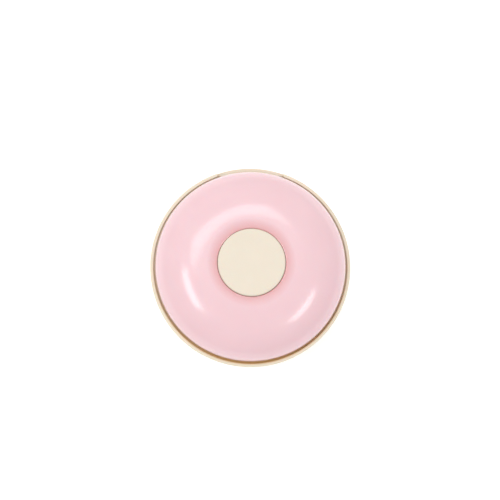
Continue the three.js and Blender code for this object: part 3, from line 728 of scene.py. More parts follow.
# ------------------------------------------------------------------------------- base
@dataclass
class BaseAssembly:
    """The bowl-shaped base with its rim, hinge arm, magnet and feet."""

    wall: float = 2.0
    rim_height: float = 2.4
    rim_round: float = 0.8
    lip_width: float = 1.3
    lip_rise: float = 1.0
    rim_overhang: float = 3.5
    rim_fillet: float = 1.2
    bowl_height: float = 8.7
    bowl_reach: float = 7.0
    spigot_height: float = 2.7
    spigot_gap: float = 0.4
    lid_wall: float = 2.0
    lid_gap: float = 0.8
    lid_height: float = 13.0
    spigot_cut_half: float = 17.0
    cove_half: float = 12.5
    cove_clearance: float = 0.4
    cove_lip_drop: float = 0.9
    arm_half: float = 3.2
    knuckle: float = 1.6
    magnet_wall: float = 1.4
    shell: Extent = node_box("base_shell")
    lid: Extent = node_box("lid_shell")
    pin: Extent = node_box("hinge_pin")
    magnet: Extent = node_box("base_magnet")
    feet: int = 4

    def __post_init__(self) -> None:
        """Works out the levels and radii that the pieces share."""
        self.rim = self.shell.high.x
        self.under = self.shell.low.z
        self.rim_top = self.lid.high.z - self.lid_height - self.lid_gap
        self.body = self.rim - self.rim_overhang
        self.inner = self.body - self.wall
        self.floor = self.under + self.wall
        self.bowl_top = self.under + self.bowl_height
        self.bowl_foot = self.body - self.bowl_reach
        self.spigot = self.lid.high.x - self.lid_wall - self.spigot_gap
        self.spigot_top = self.rim_top + self.spigot_height
        self.pin_y, self.pin_z = self.pin.middle.y, self.pin.middle.z

    def bowl_inside(self, gap: float) -> Array:
        """The bowl's inner curve, from the floor up to the wall: a quarter of an ellipse."""
        reach = self.bowl_reach - self.wall - gap
        rise = self.bowl_height - self.wall - gap
        return ellipse_arc((self.bowl_foot, self.bowl_top), (reach, rise), -90, 0, 20)

    def shell_profile(self) -> Array:
        """The base's section: from the axis under the floor, round the rim and back over the floor."""
        rim_low = self.rim_top - self.rim_height
        outer = ellipse_arc((self.bowl_foot, self.bowl_top), (self.bowl_reach, self.bowl_height), -90, 0, 28)
        upper = filleted(
            [
                (self.body, self.bowl_top + 0.2, 0),
                (self.body, rim_low, self.rim_fillet),
                (self.rim, rim_low, self.rim_round),
                (self.rim, self.rim_top + self.lip_rise, 0.75),
                (self.rim - self.lip_width, self.rim_top + self.lip_rise, 0.25),
                (self.rim - self.lip_width, self.rim_top, 0.2),
                (self.spigot, self.rim_top, 0.25),
                (self.spigot, self.spigot_top, 0.45),
                (self.inner, self.spigot_top, 0.3),
                (self.inner, self.bowl_top + 0.2, 0),
            ],
            closed=False,
            steps=7,
        )
        inner = self.bowl_inside(0)[::-1]
        rings = np.array([[self.bowl_foot * 0.5, self.under], [self.bowl_foot * 0.8, self.under]])
        floor_rings = np.array([[self.bowl_foot * 0.6, self.floor], [0, self.floor]])
        return np.concatenate([[[0, self.under]], rings, outer, upper, inner, floor_rings])

    def cutters(self) -> list[bpy.types.Object]:
        """The cuts at the back that let the lid's edge swing down, and the magnet's pocket."""
        lid_edge = self.rim_top + self.lid_gap
        swing = math.hypot(self.lid.high.y - self.pin_y, self.pin_z - lid_edge) + self.cove_clearance
        back = self.rim + 1
        top = self.spigot_top + 1
        reach = self.rim - self.lip_width - 0.4
        start = math.degrees(math.acos(self.spigot_cut_half / reach))
        gap = ellipse_arc((0, 0), (reach, reach), start, 180 - start, 48)
        lip = rectangle(-self.cove_half, self.pin_y, self.cove_half, back)
        pocket = circle((0, self.magnet.middle.y), self.magnet.size.x / 2 + 0.2)
        cove = circle((self.pin_y, self.pin_z), swing, 72)
        return [
            cutter(gap, self.rim_top, top),
            cutter(cove, -self.cove_half, self.cove_half, Along.X),
            cutter(lip, self.rim_top - self.cove_lip_drop, top),
            cutter(pocket, self.magnet.low.z - 0.2, top),
        ]

    def arm(self) -> bpy.types.Object:
        """The hinge arm: a hooked outline with a round knuckle about the pin, as wide as the lid's gap."""
        y, z = self.pin_y, self.pin_z
        hook = filleted(
            [
                (y - 5.4, self.bowl_top, 0),
                (self.inner + 0.5, self.bowl_top, 0),
                (self.inner + 0.5, z - 6, 0.8),
                (y - 3.5, z - 4.4, 0.8),
                (y - 3.5, z - 1.3, 0.7),
                (y, z - 0.9, 0),
                (y, z + 1.4, 0),
                (y - 5.4, z + 1.4, 1.6),
            ]
        )
        made = cutter(hook, -self.arm_half, self.arm_half, Along.X)
        knuckle = cutter(circle((y, z), self.knuckle), -self.arm_half, self.arm_half, Along.X)
        return carve(made, [knuckle], "UNION")

    def boss(self) -> bpy.types.Object:
        """The post that holds the magnet, grown out of the front wall."""
        top = self.magnet.high.z + 0.2
        radius = self.magnet.size.x / 2 + self.magnet_wall
        y = self.magnet.middle.y
        outline = np.concatenate(
            [ellipse_arc((0, y), (radius, radius), 0, 180, 32), [[-radius, y - 2.5], [radius, y - 2.5]]]
        )
        return cutter(outline, self.floor - 0.5, top)

    def build(self) -> None:
        """Builds and dresses every piece of the base."""
        shell = turned_piece("base_bowl", self.shell_profile(), Body.BASE, closed=False)
        cuts = self.cutters()
        carve(shell, cuts[:3])
        carve(shell, [self.boss(), self.arm()], "UNION")
        heads = [Extent.of(f"block_screw_{i}") for i in (1, 2)]
        pits = [
            cutter(circle(tuple(e.middle[:2]), e.size.x / 2 + 0.2), 0, self.under + 1.2)
            for e in heads
        ]
        carve(shell, [cuts[3], *pits])
        dress(shell, CREAM_SATIN_ABS, "base_cream", "base_shell")
        for i in range(1, self.feet + 1):
            node = f"foot_pad_{i}"
            extent = Extent.of(node)
            foot = disc_piece(f"{node}_soft", extent, Body.BASE, extent.size.x / 2, 0.3)
            dress(foot, GREY_RUBBER, "foot_rubber", node)
        magnet = disc_piece("base_magnet_disc", self.magnet, Body.BASE, self.magnet.size.x / 2)
        dress(magnet, NICKEL_PLATE, "magnet_nickel", "base_magnet")
        outline = circle((self.pin_y, self.pin_z), self.pin.size.z / 2)
        ends = self.pin.low.x, self.pin.high.x
        pin = prism_piece("hinge_pin_round", outline, *ends, Along.X, Body.BASE, 0.15)
        dress(pin, SPRING_WIRE_STEEL, "spring_steel", "hinge_pin")


# ------------------------------------------------------------------------------- pill block and trays
@dataclass
class PillSeat:
    """The V-shaped block that holds the pill, its pads, the anvil strip and the storage trays."""

    base: BaseAssembly
    wall_height: float = 6.2
    apex_y: float = 11.4
    front_y: float = -3.6
    slit_width: float = 1.4
    tray_wall: float = 1.2
    tray_gap: float = 0.4
    front_angle: float = -79.0
    back_angle: float = 72.0
    divider_angle: float = -4.0
    rules: int = 5
    rule_first: float = 8.0
    rule_step: float = 2.6
    rule_half: float = 0.15
    rule_angles: tuple[float, float] = (-128.0, -98.0)
    anvil_ease: float = 0.2
    pad_start: float = 0.9
    pad_inset: float = 0.2
    pad_thickness: float = 1.0
    pad_ribs: int = 9
    pad_rib_height: float = 0.16
    block: Extent = node_box("pill_block")
    anvil: Extent = node_box("anvil_strip")
    tray: Extent = node_box("storage_tray_right")

    def vee(self, low: float, high: float) -> bpy.types.Object:
        """The space between the block's two walls: a right-angled wedge with its point at the back."""
        reach = 2 * self.block.high.x
        outline = filleted(
            [(0, self.apex_y, 0.8), (-reach, self.apex_y - reach, 0), (reach, self.apex_y - reach, 0)]
        )
        return cutter(outline, low, high)

    def build_block(self) -> None:
        """The block: a low cylinder with the wedge, its front, the blade's slit and the anvil strip's pocket
        cut from it.
        """
        radius, top = self.block.high.x, self.block.high.z
        floor = top - self.wall_height
        foot = self.block.low.z
        profile = filleted([(0, foot, 0), (radius, foot, 0.3), (radius, top, 0.5), (0, top, 0)], closed=False)
        made = turned_piece("pill_block_vee", profile, Body.BASE, False)
        half = self.slit_width / 2
        length = self.anvil.high.y
        front = rectangle(-radius - 1, -radius - 1, radius + 1, self.front_y)
        slit = rectangle(-half, -length, half, length)
        low, high, ease = self.anvil.low, self.anvil.high, self.anvil_ease
        pocket = rectangle(low.x - ease, low.y - ease, high.x + ease, high.y + ease)
        carve(
            made,
            [
                self.vee(floor, top + 1),
                cutter(front, floor, top + 1),
                cutter(slit, 0, top + 1),
                cutter(pocket, 0, high.z + ease),
            ],
        )
        dress(made, IVORY_ABS, "ivory_abs", "pill_block")

    def build_rules(self) -> None:
        """Low ribs on the block's floor: flat arcs about the V's point that help to centre a pill."""
        floor = self.block.high.z - self.wall_height
        for i in range(self.rules):
            radius = self.rule_first + self.rule_step * i
            start, stop = self.rule_angles
            outer = ellipse_arc((0, self.apex_y), (radius + self.rule_half,) * 2, start, stop, 16)
            inner = ellipse_arc((0, self.apex_y), (radius - self.rule_half,) * 2, stop, start, 16)
            for side, flip in (("left", 1.0), ("right", -1.0)):
                outline = np.concatenate([outer, inner]) * np.array([flip, 1.0])
                reach = np.hypot(outline[:, 0], outline[:, 1]).max()
                if reach > self.block.high.x - 0.4:
                    continue
                name = f"centring_rule_{side}_{i + 1}"
                rib = prism_piece(name, outline, floor - 0.1, floor + 0.12, Along.Z, Body.BASE, 0)
                dress(rib, IVORY_ABS, "ivory_abs")

    def build_pads(self) -> None:
        """The soft pads: a strip along each wall whose face is a row of shallow rounded ribs."""
        for side, sign in (("right", 1.0), ("left", -1.0)):
            extent = Extent.of(f"grip_pad_{side}")
            x0 = self.pad_start
            x1 = max(abs(extent.low.x), abs(extent.high.x))
            back = self.apex_y - self.pad_inset * math.sqrt(2)
            face = self.pad_thickness * math.sqrt(2)
            t = np.linspace(0, 1, 121)
            x = x0 + (x1 - 1.2 - x0) * t
            ribs = self.pad_rib_height * (1 - np.abs(np.sin(math.pi * self.pad_ribs * t)))
            front = np.stack([x - 0.5 * ribs, back - x - face + ribs], axis=1)
            rear = np.array([[x1 - 0.1, back - x1 + 0.1], [x0, back - x0]])
            outline = np.concatenate([front, rear]) * np.array([sign, 1.0])
            pad = prism_piece(
                f"grip_pad_{side}_ribbed", outline, extent.low.z, extent.high.z, Along.Z, Body.BASE, 0.12
            )
            dress(pad, ROSE_RUBBER, "rose_tpe", f"grip_pad_{side}")

    def tray_profile(self, gap: float, floor: float, inner: float, top: float) -> Array:
        """A tray's section: straight at its inner side, and along the bowl's curve at its outer side."""
        curve = self.base.bowl_inside(gap)
        return np.concatenate([[[inner, floor]], curve, [[self.base.inner - gap, top], [inner, top]]])

    def wedge(self, start: float, stop: float) -> bpy.types.Object:
        """A slice of a circle about Z between two angles in degrees."""
        rays = ellipse_arc((0, 0), (WEDGE_REACH, WEDGE_REACH), start, stop, 12)
        outline = np.concatenate([[[0, 0]], rays])
        return cutter(outline, 0, BEYOND)

    def build_tray(self, side: str, sign: float) -> None:
        """One storage tray: a turned pan between two angles with two rooms hollowed out of it.

        Args:
            side: right or left.
            sign: one on the right, minus one on the left.
        """
        inner = self.tray_inner
        top = self.tray.high.z
        pan_floor = self.tray.low.z
        body = turned_piece("pan", self.tray_profile(self.tray_gap, pan_floor, inner, top), Body.BASE)
        carve(body, [self.wedge(self.front_angle, self.back_angle)], "INTERSECT")
        wall = self.tray_wall
        turn = math.degrees(wall / (inner + wall))
        rooms = [
            (self.front_angle + turn, self.divider_angle - turn / 2),
            (self.divider_angle + turn / 2, self.back_angle - turn),
        ]
        for start, stop in rooms:
            profile = self.tray_profile(self.tray_gap + wall, pan_floor + wall, inner + wall, top + 1)
            room = turned_piece("room", profile, Body.BASE)
            carve(room, [self.wedge(start, stop)], "INTERSECT")
            carve(body, [room])
        if sign < 0:
            flip = np.empty(len(body.data.vertices) * 3, np.float32)
            body.data.vertices.foreach_get("co", flip)
            flip[0::3] *= -1
            body.data.vertices.foreach_set("co", flip)
            body.data.flip_normals()
        body.name = f"storage_tray_{side}_pan"
        soften_edges(body, 0.22)
        dress(body, IVORY_ABS, "ivory_abs", f"storage_tray_{side}")

    @property
    def tray_inner(self) -> float:
        """Radius of the trays' inner wall, from the tray's own corner at the front."""
        return abs(self.tray.low.x / math.cos(math.radians(self.front_angle)))

    def build(self) -> None:
        """Builds and dresses the block, the pads, the anvil strip and the trays."""
        self.build_block()
        self.build_rules()
        self.build_pads()
        self.build_tray("right", 1.0)
        self.build_tray("left", -1.0)
        box = self.anvil
        outline = rectangle(box.low.x, box.low.y, box.high.x, box.high.y)
        strip = prism_piece("anvil_strip_acetal", outline, box.low.z, box.high.z, Along.Z, Body.BASE, 0.2)
        dress(strip, NATURAL_ACETAL, "natural_pom", "anvil_strip")


# ------------------------------------------------------------------------------- lid
@dataclass
class LidAssembly:
    """The ring-shaped lid with its liner, guard cup, magnet and return spring."""

    wall: float = 2.0
    tuck: float = 0.7
    tuck_height: float = 1.0
    rise: float = 12.0
    crest_radius: float = 16.5
    fullness: float = 2.15
    dish_depth: float = 0.1
    collar_depth: float = 6.76
    collar_wall: float = 1.75
    bore_gap: float = 0.08
    ear_width: float = 3.0
    ear_gap: float = 0.3
    ear_lean: float = 0.2
    ear_back: float = 3.2
    ear_front: float = 5.5
    arm_half: float = 3.2
    arm_depth: float = 5.9
    swing_room: float = 0.6
    knuckle: float = 1.6
    pin_fit: float = 0.15
    slot_half: float = 0.8
    shell: Extent = node_box("lid_shell")
    liner: Extent = node_box("lid_liner")
    cup: Extent = node_box("guard_cup")
    magnet: Extent = node_box("lid_magnet")
    spring: Extent = node_box("return_spring")
    blade: Extent = node_box("blade")
    pin: Extent = node_box("hinge_pin")
    button_radius: float = 12.5
    cup_wall: float = 1.3
    cup_floor: float = 1.0
    liner_thickness: float = 1.6
    wire: float = 0.6
    turns: float = 4.75
    end_turns: float = 0.75
    end_pitch: float = 1.08
    ease_in: float = 0.04

    def __post_init__(self) -> None:
        """Works out the levels and radii that the pieces share."""
        self.radius = self.shell.high.x
        self.crest = self.shell.high.z
        self.widest = self.crest - self.rise
        self.low = self.widest - self.tuck_height
        self.bore = self.button_radius + self.bore_gap

    def outside(self) -> Array:
        """The outer section: a quarter superellipse up to the crest, then a shallow dish to the bore."""
        dome = self.dome(self.radius, self.crest - self.widest, 72)
        r = np.linspace(self.crest_radius, self.bore + 0.5, 40)[1:]
        dish = np.stack([r, self.dish_at(r)], axis=1)
        return np.concatenate([dome, dish])

    def dome(self, radius: float, rise: float, steps: int) -> Array:
        """A quarter superellipse: across and up are cosine and sine raised to two over the fullness."""
        angle = np.linspace(0, math.pi / 2, steps + 1)
        across = np.clip(np.cos(angle), 0, 1) ** (2 / self.fullness)
        up = np.sin(angle) ** (2 / self.fullness)
        r = self.crest_radius + (radius - self.crest_radius) * across
        return np.stack([r, self.widest + rise * up], axis=1)

    def fall(self, r: Array) -> Array:
        """The dish's depth below the crest: a half wave of a cosine from the crest in to the bore."""
        inward = (self.crest_radius - r) / (self.crest_radius - self.bore)
        return self.dish_depth * (1 - np.cos(math.pi * inward)) / 2

    def dish_at(self, r: Array) -> Array:
        """Height of the dish at a radius."""
        return self.crest - self.fall(r)

    def shell_profile(self) -> Array:
        """The lid's closed section: lower edge, outside, collar round the button, and inside."""
        inner = self.radius - self.wall
        edge = self.dish_at(np.array(self.bore + 0.5))
        collar_low = self.dish_at(np.array(self.bore)) - self.collar_depth
        lip = filleted(
            [
                (inner, self.widest, 0),
                (inner, self.low, 0.3),
                (self.radius - self.tuck * 0.4, self.low, 0.55),
                (self.radius, self.widest, 0),
            ],
            closed=False,
        )
        rise = self.crest - self.widest - self.wall
        ceiling = self.dome(inner, rise, 32)[::-1]
        r = np.linspace(self.bore + self.collar_wall, self.crest_radius, 16)[:-1]
        slope = np.stack([r, self.dish_at(r) - self.wall], axis=1)
        collar = np.array(
            [
                [self.bore + 0.12, edge - 0.16],
                [self.bore, edge - 0.45],
                [self.bore, collar_low],
                [self.bore + self.collar_wall, collar_low],
            ]
        )
        return np.concatenate([lip[:-1], self.outside(), collar, slope, ceiling[:-1]])

    def ears(self) -> list[bpy.types.Object]:
        """The two ears that hang inside the lid's back edge and turn on the pin."""
        y, z = self.pin.middle.y, self.pin.middle.z
        k = self.knuckle
        round_end = ellipse_arc((y, z), (k, k), -180, 0, 24)
        root = [[y + k - self.ear_lean, z + self.ear_back], [y - k, z + self.ear_front]]
        outline = np.concatenate([round_end, root])
        start = self.arm_half + self.ear_gap
        spans = ((start, start + self.ear_width), (-start - self.ear_width, -start))
        return [cutter(outline, *span, Along.X) for span in spans]

    def build_shell(self) -> None:
        """The shell: a turned ring, hollowed for the base's knuckle, with two ears bored for the pin."""
        shell = turned_piece("lid_ring", self.shell_profile(), Body.LID, columns=256)
        y, z = self.pin.middle.y, self.pin.middle.z
        half = self.arm_half + self.ear_gap
        room = circle((y, z), self.knuckle + self.ear_gap)
        carve(shell, [cutter(room, -half, half, Along.X)])
        carve(shell, self.ears(), "UNION")
        reach = self.arm_half + 2 * self.ear_gap + self.ear_width
        bore = circle((y, z), self.pin.size.z / 2 + self.pin_fit)
        carve(shell, [cutter(bore, -reach, reach, Along.X)])
        dress(shell, PINK_GLOSS_ABS, "lid_pink", "lid_shell")

    def build_liner(self) -> None:
        """The liner: a flat ring with a raised magnet pocket and openings for the hinge arm and ears."""
        hole = self.cup_radius + 0.2
        low, high = self.liner.low.z, self.liner.low.z + self.liner_thickness
        edge = self.liner.high.x
        profile = filleted([(hole, low, 0.3), (edge, low, 0.4), (edge, high, 0.3), (hole, high, 0.3)])
        made = turned_piece("lid_liner_plate", profile, Body.LID)
        arm = self.arm_half + self.ear_gap + 0.2
        ear = self.arm_half + 2 * self.ear_gap + self.ear_width + 0.4
        y = self.pin.middle.y
        cuts = [
            cutter(rectangle(-arm, y - self.arm_depth, arm, BEYOND), 0, BEYOND),
            cutter(rectangle(-ear, y - self.knuckle - self.swing_room, ear, BEYOND), 0, BEYOND),
        ]
        centre = tuple(self.magnet.middle[:2])
        pocket = circle(centre, self.magnet.size.x / 2 + 0.2)
        house = circle(centre, self.magnet.size.x / 2 + 1.2)
        top = self.liner.high.z
        carve(made, [cutter(house, low + 0.2, top)], "UNION")
        cuts.append(cutter(pocket, 0, top - 0.7))
        for i in range(1, 5):
            screw = Extent.of(f"liner_screw_{i}")
            outline = circle(tuple(screw.middle[:2]), screw.size.x / 2 + 0.2, 32)
            cuts.append(cutter(outline, 0, low + 0.7))
        carve(made, cuts)
        dress(made, IVORY_ABS, "ivory_abs", "lid_liner")

    @property
    def cup_radius(self) -> float:
        """Outer radius of the guard cup's wall."""
        flange = self.button_radius + 1.1
        return flange + self.ear_gap + self.cup_wall

    def build_cup(self) -> None:
        """The guard cup: a turned cup with a flange above the liner and a slit for the blade."""
        bore, outer = self.cup_radius - self.cup_wall, self.cup_radius
        low, top = self.cup.low.z, self.cup.high.z
        seat = self.liner.low.z + self.liner_thickness + 0.1
        profile = filleted(
            [
                (0, low, 0),
                (outer, low, 0.9),
                (outer, seat, 0),
                (self.cup.high.x, seat, 0.2),
                (self.cup.high.x, seat + 1.2, 0.2),
                (outer, seat + 1.2, 0.3),
                (outer, top, 0.3),
                (bore, top, 0.3),
                (bore, low + self.cup_floor, 0.6),
                (0, low + self.cup_floor, 0),
            ],
            closed=False,
        )
        made = turned_piece("guard_cup_smooth", profile, Body.LID, closed=False)
        end = self.blade.high.y + 0.7
        corner = self.slot_half * 0.95
        slit = filleted(
            [(-self.slot_half, -end, corner), (self.slot_half, -end, corner),
             (self.slot_half, end, corner), (-self.slot_half, end, corner)]
        )
        carve(made, [cutter(slit, 0, low + self.cup_floor + 0.5)])
        dress(made, IVORY_ABS, "ivory_abs", "guard_cup")

    def build_spring(self) -> None:
        """The return spring: a round section carried along a helix whose end turns lie flat.

        The centreline is radius times cosine and sine of the angle, and its height eases from flat to a
        steady climb and back. The section stands square to the centreline's direction.
        """
        radius = self.spring.high.x - self.wire / 2
        t = np.linspace(0, 1, int(self.turns * 40) + 1)[:, None]
        angle = 2 * math.pi * self.turns * t
        closed = self.end_turns / self.turns
        even = np.clip((t - closed) / (1 - 2 * closed), 0, 1)
        climb = even - self.ease_in * np.sin(2 * math.pi * even)
        end_rise = self.end_pitch * self.wire
        flat = end_rise * (np.minimum(t, closed) + np.maximum(0, t - 1 + closed)) / closed
        low = self.spring.low.z + self.wire / 2
        room = self.spring.size.z - self.wire - 2 * end_rise
        z = low + flat + room * climb
        centre = np.concatenate([radius * np.cos(angle), radius * np.sin(angle), z], axis=1)
        ahead = np.gradient(centre, axis=0)
        ahead /= np.linalg.norm(ahead, axis=1, keepdims=True)
        out = np.concatenate([np.cos(angle), np.sin(angle), 0 * angle], axis=1)
        up = np.cross(ahead, out)
        a = np.linspace(0, 2 * math.pi, 16, endpoint=False)[None, :, None]
        tube = centre[:, None] + self.wire / 2 * (out[:, None] * np.cos(a) + up[:, None] * np.sin(a))
        rows, columns = tube.shape[:2]
        caps = [np.arange(columns)[None, ::-1], (np.arange(columns) + (rows - 1) * columns)[None]]
        faces = [grid_faces(rows, columns, False), *caps]
        made = write_piece("return_spring_coil", tube.reshape(-1, 3), faces, Body.LID)
        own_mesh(made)
        dress(made, SPRING_WIRE_STEEL, "spring_steel", "return_spring")

    @property
    def spring_keep(self) -> float:
        """The share of its height that the spring keeps when the button is right down."""
        travel = next(j for j in frame["joints"] if j["name"] == "button_press")["range_m"][1] / MM
        return (self.spring.size.z - travel) / self.spring.size.z

    def build(self) -> None:
        """Builds and dresses every piece of the lid."""
        self.build_shell()
        self.build_liner()
        self.build_cup()
        self.build_spring()
        magnet = disc_piece("lid_magnet_disc", self.magnet, Body.LID, self.magnet.size.x / 2)
        dress(magnet, NICKEL_PLATE, "magnet_nickel", "lid_magnet")


# ------------------------------------------------------------------------------- button
@dataclass
class ButtonAssembly:
    """The push button with its plunger, clamp and blade."""

    radius: float = 12.5
    top_wall: float = 1.6
    skirt: float = 1.4
    edge_round: float = 0.65
    flange_height: float = 1.2
    edge_height: float = 1.6
    cap: Extent = node_box("button_cap")
    plunger: Extent = node_box("plunger")
    clamp: Extent = node_box("blade_clamp")
    blade: Extent = node_box("blade")

    def build_cap(self) -> None:
        """The button: a flat-topped turned cap with a rounded edge, a skirt and a stop flange."""
        low, top = self.cap.low.z, self.cap.high.z
        inner = self.radius - self.skirt
        profile = filleted(
            [
                (0, top, 0),
                (self.radius, top, self.edge_round),
                (self.radius, low + self.flange_height, 0.15),
                (self.cap.high.x, low + self.flange_height, 0.2),
                (self.cap.high.x, low, 0.2),
                (inner, low, 0.2),
                (inner, top - self.top_wall, 0.5),
                (0, top - self.top_wall, 0),
            ],
            closed=False,
            steps=8,
        )
        rings = np.array([[self.radius * share, top] for share in (0.3, 0.6, 0.85)])
        profile = np.concatenate([profile[:1], rings, profile[1:]])
        made = turned_piece("push_button", profile, Body.BUTTON, closed=False)
        dress(made, CREAM_MATT_ABS, "button_cream", "button_cap")

    def build_plunger(self) -> None:
        """The plunger: a turned disc with the fixed half of the clamp under it."""
        box, clamp = self.plunger, self.clamp
        disc_low = clamp.high.z + 0.2
        edge, top = box.high.x, box.high.z
        profile = filleted(
            [(0, disc_low, 0), (edge, disc_low, 0.2), (edge, top, 0.2), (0, top, 0)], closed=False
        )
        made = turned_piece("plunger_disc", profile, Body.BUTTON, closed=False)
        outline = rectangle(-clamp.high.x, clamp.low.y, -clamp.low.x, clamp.high.y)
        jaw = cutter(outline, box.low.z, disc_low + 0.3)
        carve(made, [jaw], "UNION")
        dress(made, NATURAL_ACETAL, "natural_pom", "plunger")

    def build_blade(self) -> None:
        """The blade: a flat plate whose section narrows to a ground edge."""
        box = self.blade
        thick = box.high.x
        section = np.array(
            [
                [-thick, box.high.z],
                [-thick, box.low.z + self.edge_height],
                [-0.02, box.low.z],
                [0.02, box.low.z],
                [thick, box.low.z + self.edge_height],
                [thick, box.high.z],
            ]
        )
        made = prism_piece("blade_ground", section, box.low.y, box.high.y, Along.Y, Body.BUTTON, 0)
        dress(made, GROUND_STEEL, "blade_steel", "blade")

    def build(self) -> None:
        """Builds and dresses every piece that moves with the button."""
        self.build_cap()
        self.build_plunger()
        self.build_blade()
        box = self.clamp
        outline = rectangle(box.low.x, box.low.y, box.high.x, box.high.y)
        bar = prism_piece("blade_clamp_bar", outline, box.low.z, box.high.z, Along.Z, Body.BUTTON, 0.25)
        dress(bar, NATURAL_ACETAL, "natural_pom", "blade_clamp")


# ------------------------------------------------------------------------------- screws
@dataclass
class Screws:
    """The pan-head screws, all one size, each standing where its node stands."""

    shank: float = 0.8
    head: float = 1.35
    head_height: float = 1.0
    recess: float = 0.5
    nodes: tuple[tuple[str, Body, int], ...] = (
        ("block_screw", Body.BASE, 2),
        ("liner_screw", Body.LID, 4),
        ("blade_screw", Body.BUTTON, 2),
        ("cap_screw", Body.BUTTON, 2),
    )

    def build_one(self, node: str, body: Body) -> None:
        """A turned screw with a domed head and a cross recess, pointing along the node's long side.

        Args:
            node: the node that it stands for.
            body: the body it rides on.
        """
        extent = Extent.of(node)
        sideways = extent.size.x > extent.size.z
        length = extent.size.x if sideways else extent.size.z
        profile = filleted(
            [(0, 0, 0), (self.head, 0, 0.45), (self.head, self.head_height, 0.1),
             (self.shank, self.head_height, 0.1), (self.shank, length, 0.25), (0, length, 0)],
            closed=False,
        )
        made = turned_piece(f"{node}_pan_head", profile, body, False, AROUND_SMALL)
        reach, half = self.head * 0.62, self.recess / 2
        cross = [
            cutter(rectangle(-reach, -half, reach, half), -1, self.recess),
            cutter(rectangle(-half, -reach, half, reach), -1, self.recess),
        ]
        carve(made, cross)
        points = np.empty(len(made.data.vertices) * 3)
        made.data.vertices.foreach_get("co", points)
        points = points.reshape(-1, 3)
        if sideways:
            points = points[:, [2, 1, 0]] * np.array([1, 1, -1])
            start = Vector((extent.low.x, extent.middle.y, extent.middle.z))
        else:
            start = Vector((extent.middle.x, extent.middle.y, extent.low.z))
        points += np.array(start) * MM
        made.data.vertices.foreach_set("co", points.ravel())
        made.data.update()
        dress(made, ZINC_PLATE, "zinc_screw", node)

    def build(self) -> None:
        """Builds and dresses every screw."""
        for prefix, body, count in self.nodes:
            for i in range(1, count + 1):
                self.build_one(f"{prefix}_{i}", body)


# ------------------------------------------------------------------------------- studio
@dataclass
class Softbox:
    """A rectangular lamp that faces the object."""

    name: str
    direction: tuple[float, float, float]
    distance_m: float
    width_m: float
    depth_m: float
    watts: float

    def build(self) -> None:
        """Hangs the lamp along its direction from the object and turns it to face the object."""
        lamp = bpy.data.lights.new(self.name, "AREA")
        lamp.shape = "RECTANGLE"
        lamp.size, lamp.size_y = self.width_m, self.depth_m
        lamp.energy = self.watts
        hung = bpy.data.objects.new(self.name, lamp)
        bpy.context.scene.collection.objects.link(hung)
        away = Vector(self.direction).normalized()
        hung.location = away * self.distance_m
        hung.rotation_mode = "QUATERNION"
        hung.rotation_quaternion = away.to_track_quat("Z", "Y")


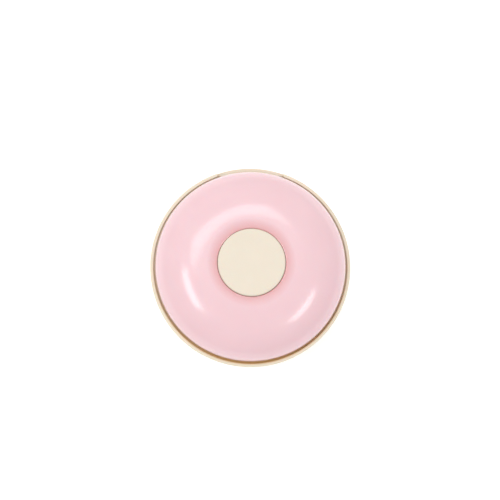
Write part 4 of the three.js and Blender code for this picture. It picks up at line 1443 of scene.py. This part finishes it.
@dataclass
class Studio:
    """The pale floor, soft lamps, surroundings that brighten upwards, and the camera."""

    floor_half_m: float = 3.0
    surround: float = 0.67
    slant: tuple[float, float, float] = (-0.14, 0.2, 0.3)
    camera_distance_m: float = 0.66
    tilt_degrees: float = 7.6
    lean_degrees: float = 1.9
    view_width_mm: float = 188.0
    aim_mm: tuple[float, float, float] = (-0.1, 6.6, 15.0)
    lamps: tuple[Softbox, ...] = (
        Softbox("softbox_left", (-0.47, -0.11, 0.875), 0.9, 0.32, 0.17, 1.1),
        Softbox("softbox_right", (0.48, -0.265, 0.836), 0.9, 0.3, 0.15, 0.85),
        Softbox("softbox_back", (-0.1, 0.28, 0.955), 0.9, 0.5, 0.2, 1.15),
    )

    def build_floor(self) -> None:
        """A pale floor with a faint mottle."""
        mesh = bpy.data.meshes.new("floor")
        half = self.floor_half_m
        corners = [(-half, -half, 0), (half, -half, 0), (half, half, 0), (-half, half, 0)]
        mesh.from_pydata(corners, [], [(0, 1, 2, 3)])
        floor = bpy.data.objects.new("floor", mesh)
        bpy.context.scene.collection.objects.link(floor)
        mesh.materials.append(LIGHT_TABLE.material())

    def build_camera(self) -> None:
        """A camera that looks down, tilted towards the front and a little to the left."""
        lens = bpy.data.cameras.new("camera")
        lens.sensor_width = 36.0
        lens.lens = 36.0 * self.camera_distance_m / (self.view_width_mm * MM)
        camera = bpy.data.objects.new("camera", lens)
        bpy.context.scene.collection.objects.link(camera)
        tilt, lean = math.radians(self.tilt_degrees), math.radians(self.lean_degrees)
        back = Vector((-math.sin(lean), -math.sin(tilt), 1.0))
        back.z = math.sqrt(1 - back.x**2 - back.y**2)
        camera.location = Vector(self.aim_mm) * MM + back * self.camera_distance_m
        up = Vector((0, 1, 0)) - back * back.y
        up.normalize()
        right = up.cross(back)
        turn = np.array([right, up, back]).T
        place = [[*turn[i], camera.location[i]] for i in range(3)]
        camera.matrix_world = Matrix([*place, [0, 0, 0, 1]])
        bpy.context.scene.camera = camera

    def build(self) -> None:
        """Builds the floor, the surroundings, the lamps and the camera."""
        self.build_floor()
        world = bpy.data.worlds.new("studio")
        world.use_nodes = True
        bpy.context.scene.world = world
        tree = world.node_tree
        toward = add_node(tree, "ShaderNodeTexCoord").outputs["Generated"]
        slope = add_node(
            tree, "ShaderNodeVectorMath", {"operation": "DOT_PRODUCT"}, slot_0=toward, slot_1=self.slant
        )
        ramp = add_node(
            tree, "ShaderNodeMath", {"operation": "MULTIPLY_ADD"},
            slot_0=slope.outputs["Value"], slot_1=self.surround, slot_2=self.surround,
        )
        sky = tree.nodes["Background"]
        tree.links.new(ramp.outputs[0], sky.inputs["Strength"])
        sky.inputs["Color"].default_value = (1.0, 1.0, 1.0, 1.0)
        for lamp in self.lamps:
            lamp.build()
        bpy.context.scene.view_settings.view_transform = "Standard"
        self.build_camera()


def main() -> None:
    """Builds the studio and every sub-assembly."""
    logging.basicConfig(level=logging.INFO, format="%(message)s")
    Studio().build()
    base = BaseAssembly()
    base.build()
    PillSeat(base).build()
    LidAssembly().build()
    ButtonAssembly().build()
    Screws().build()


if __name__ == "__main__":
    main()
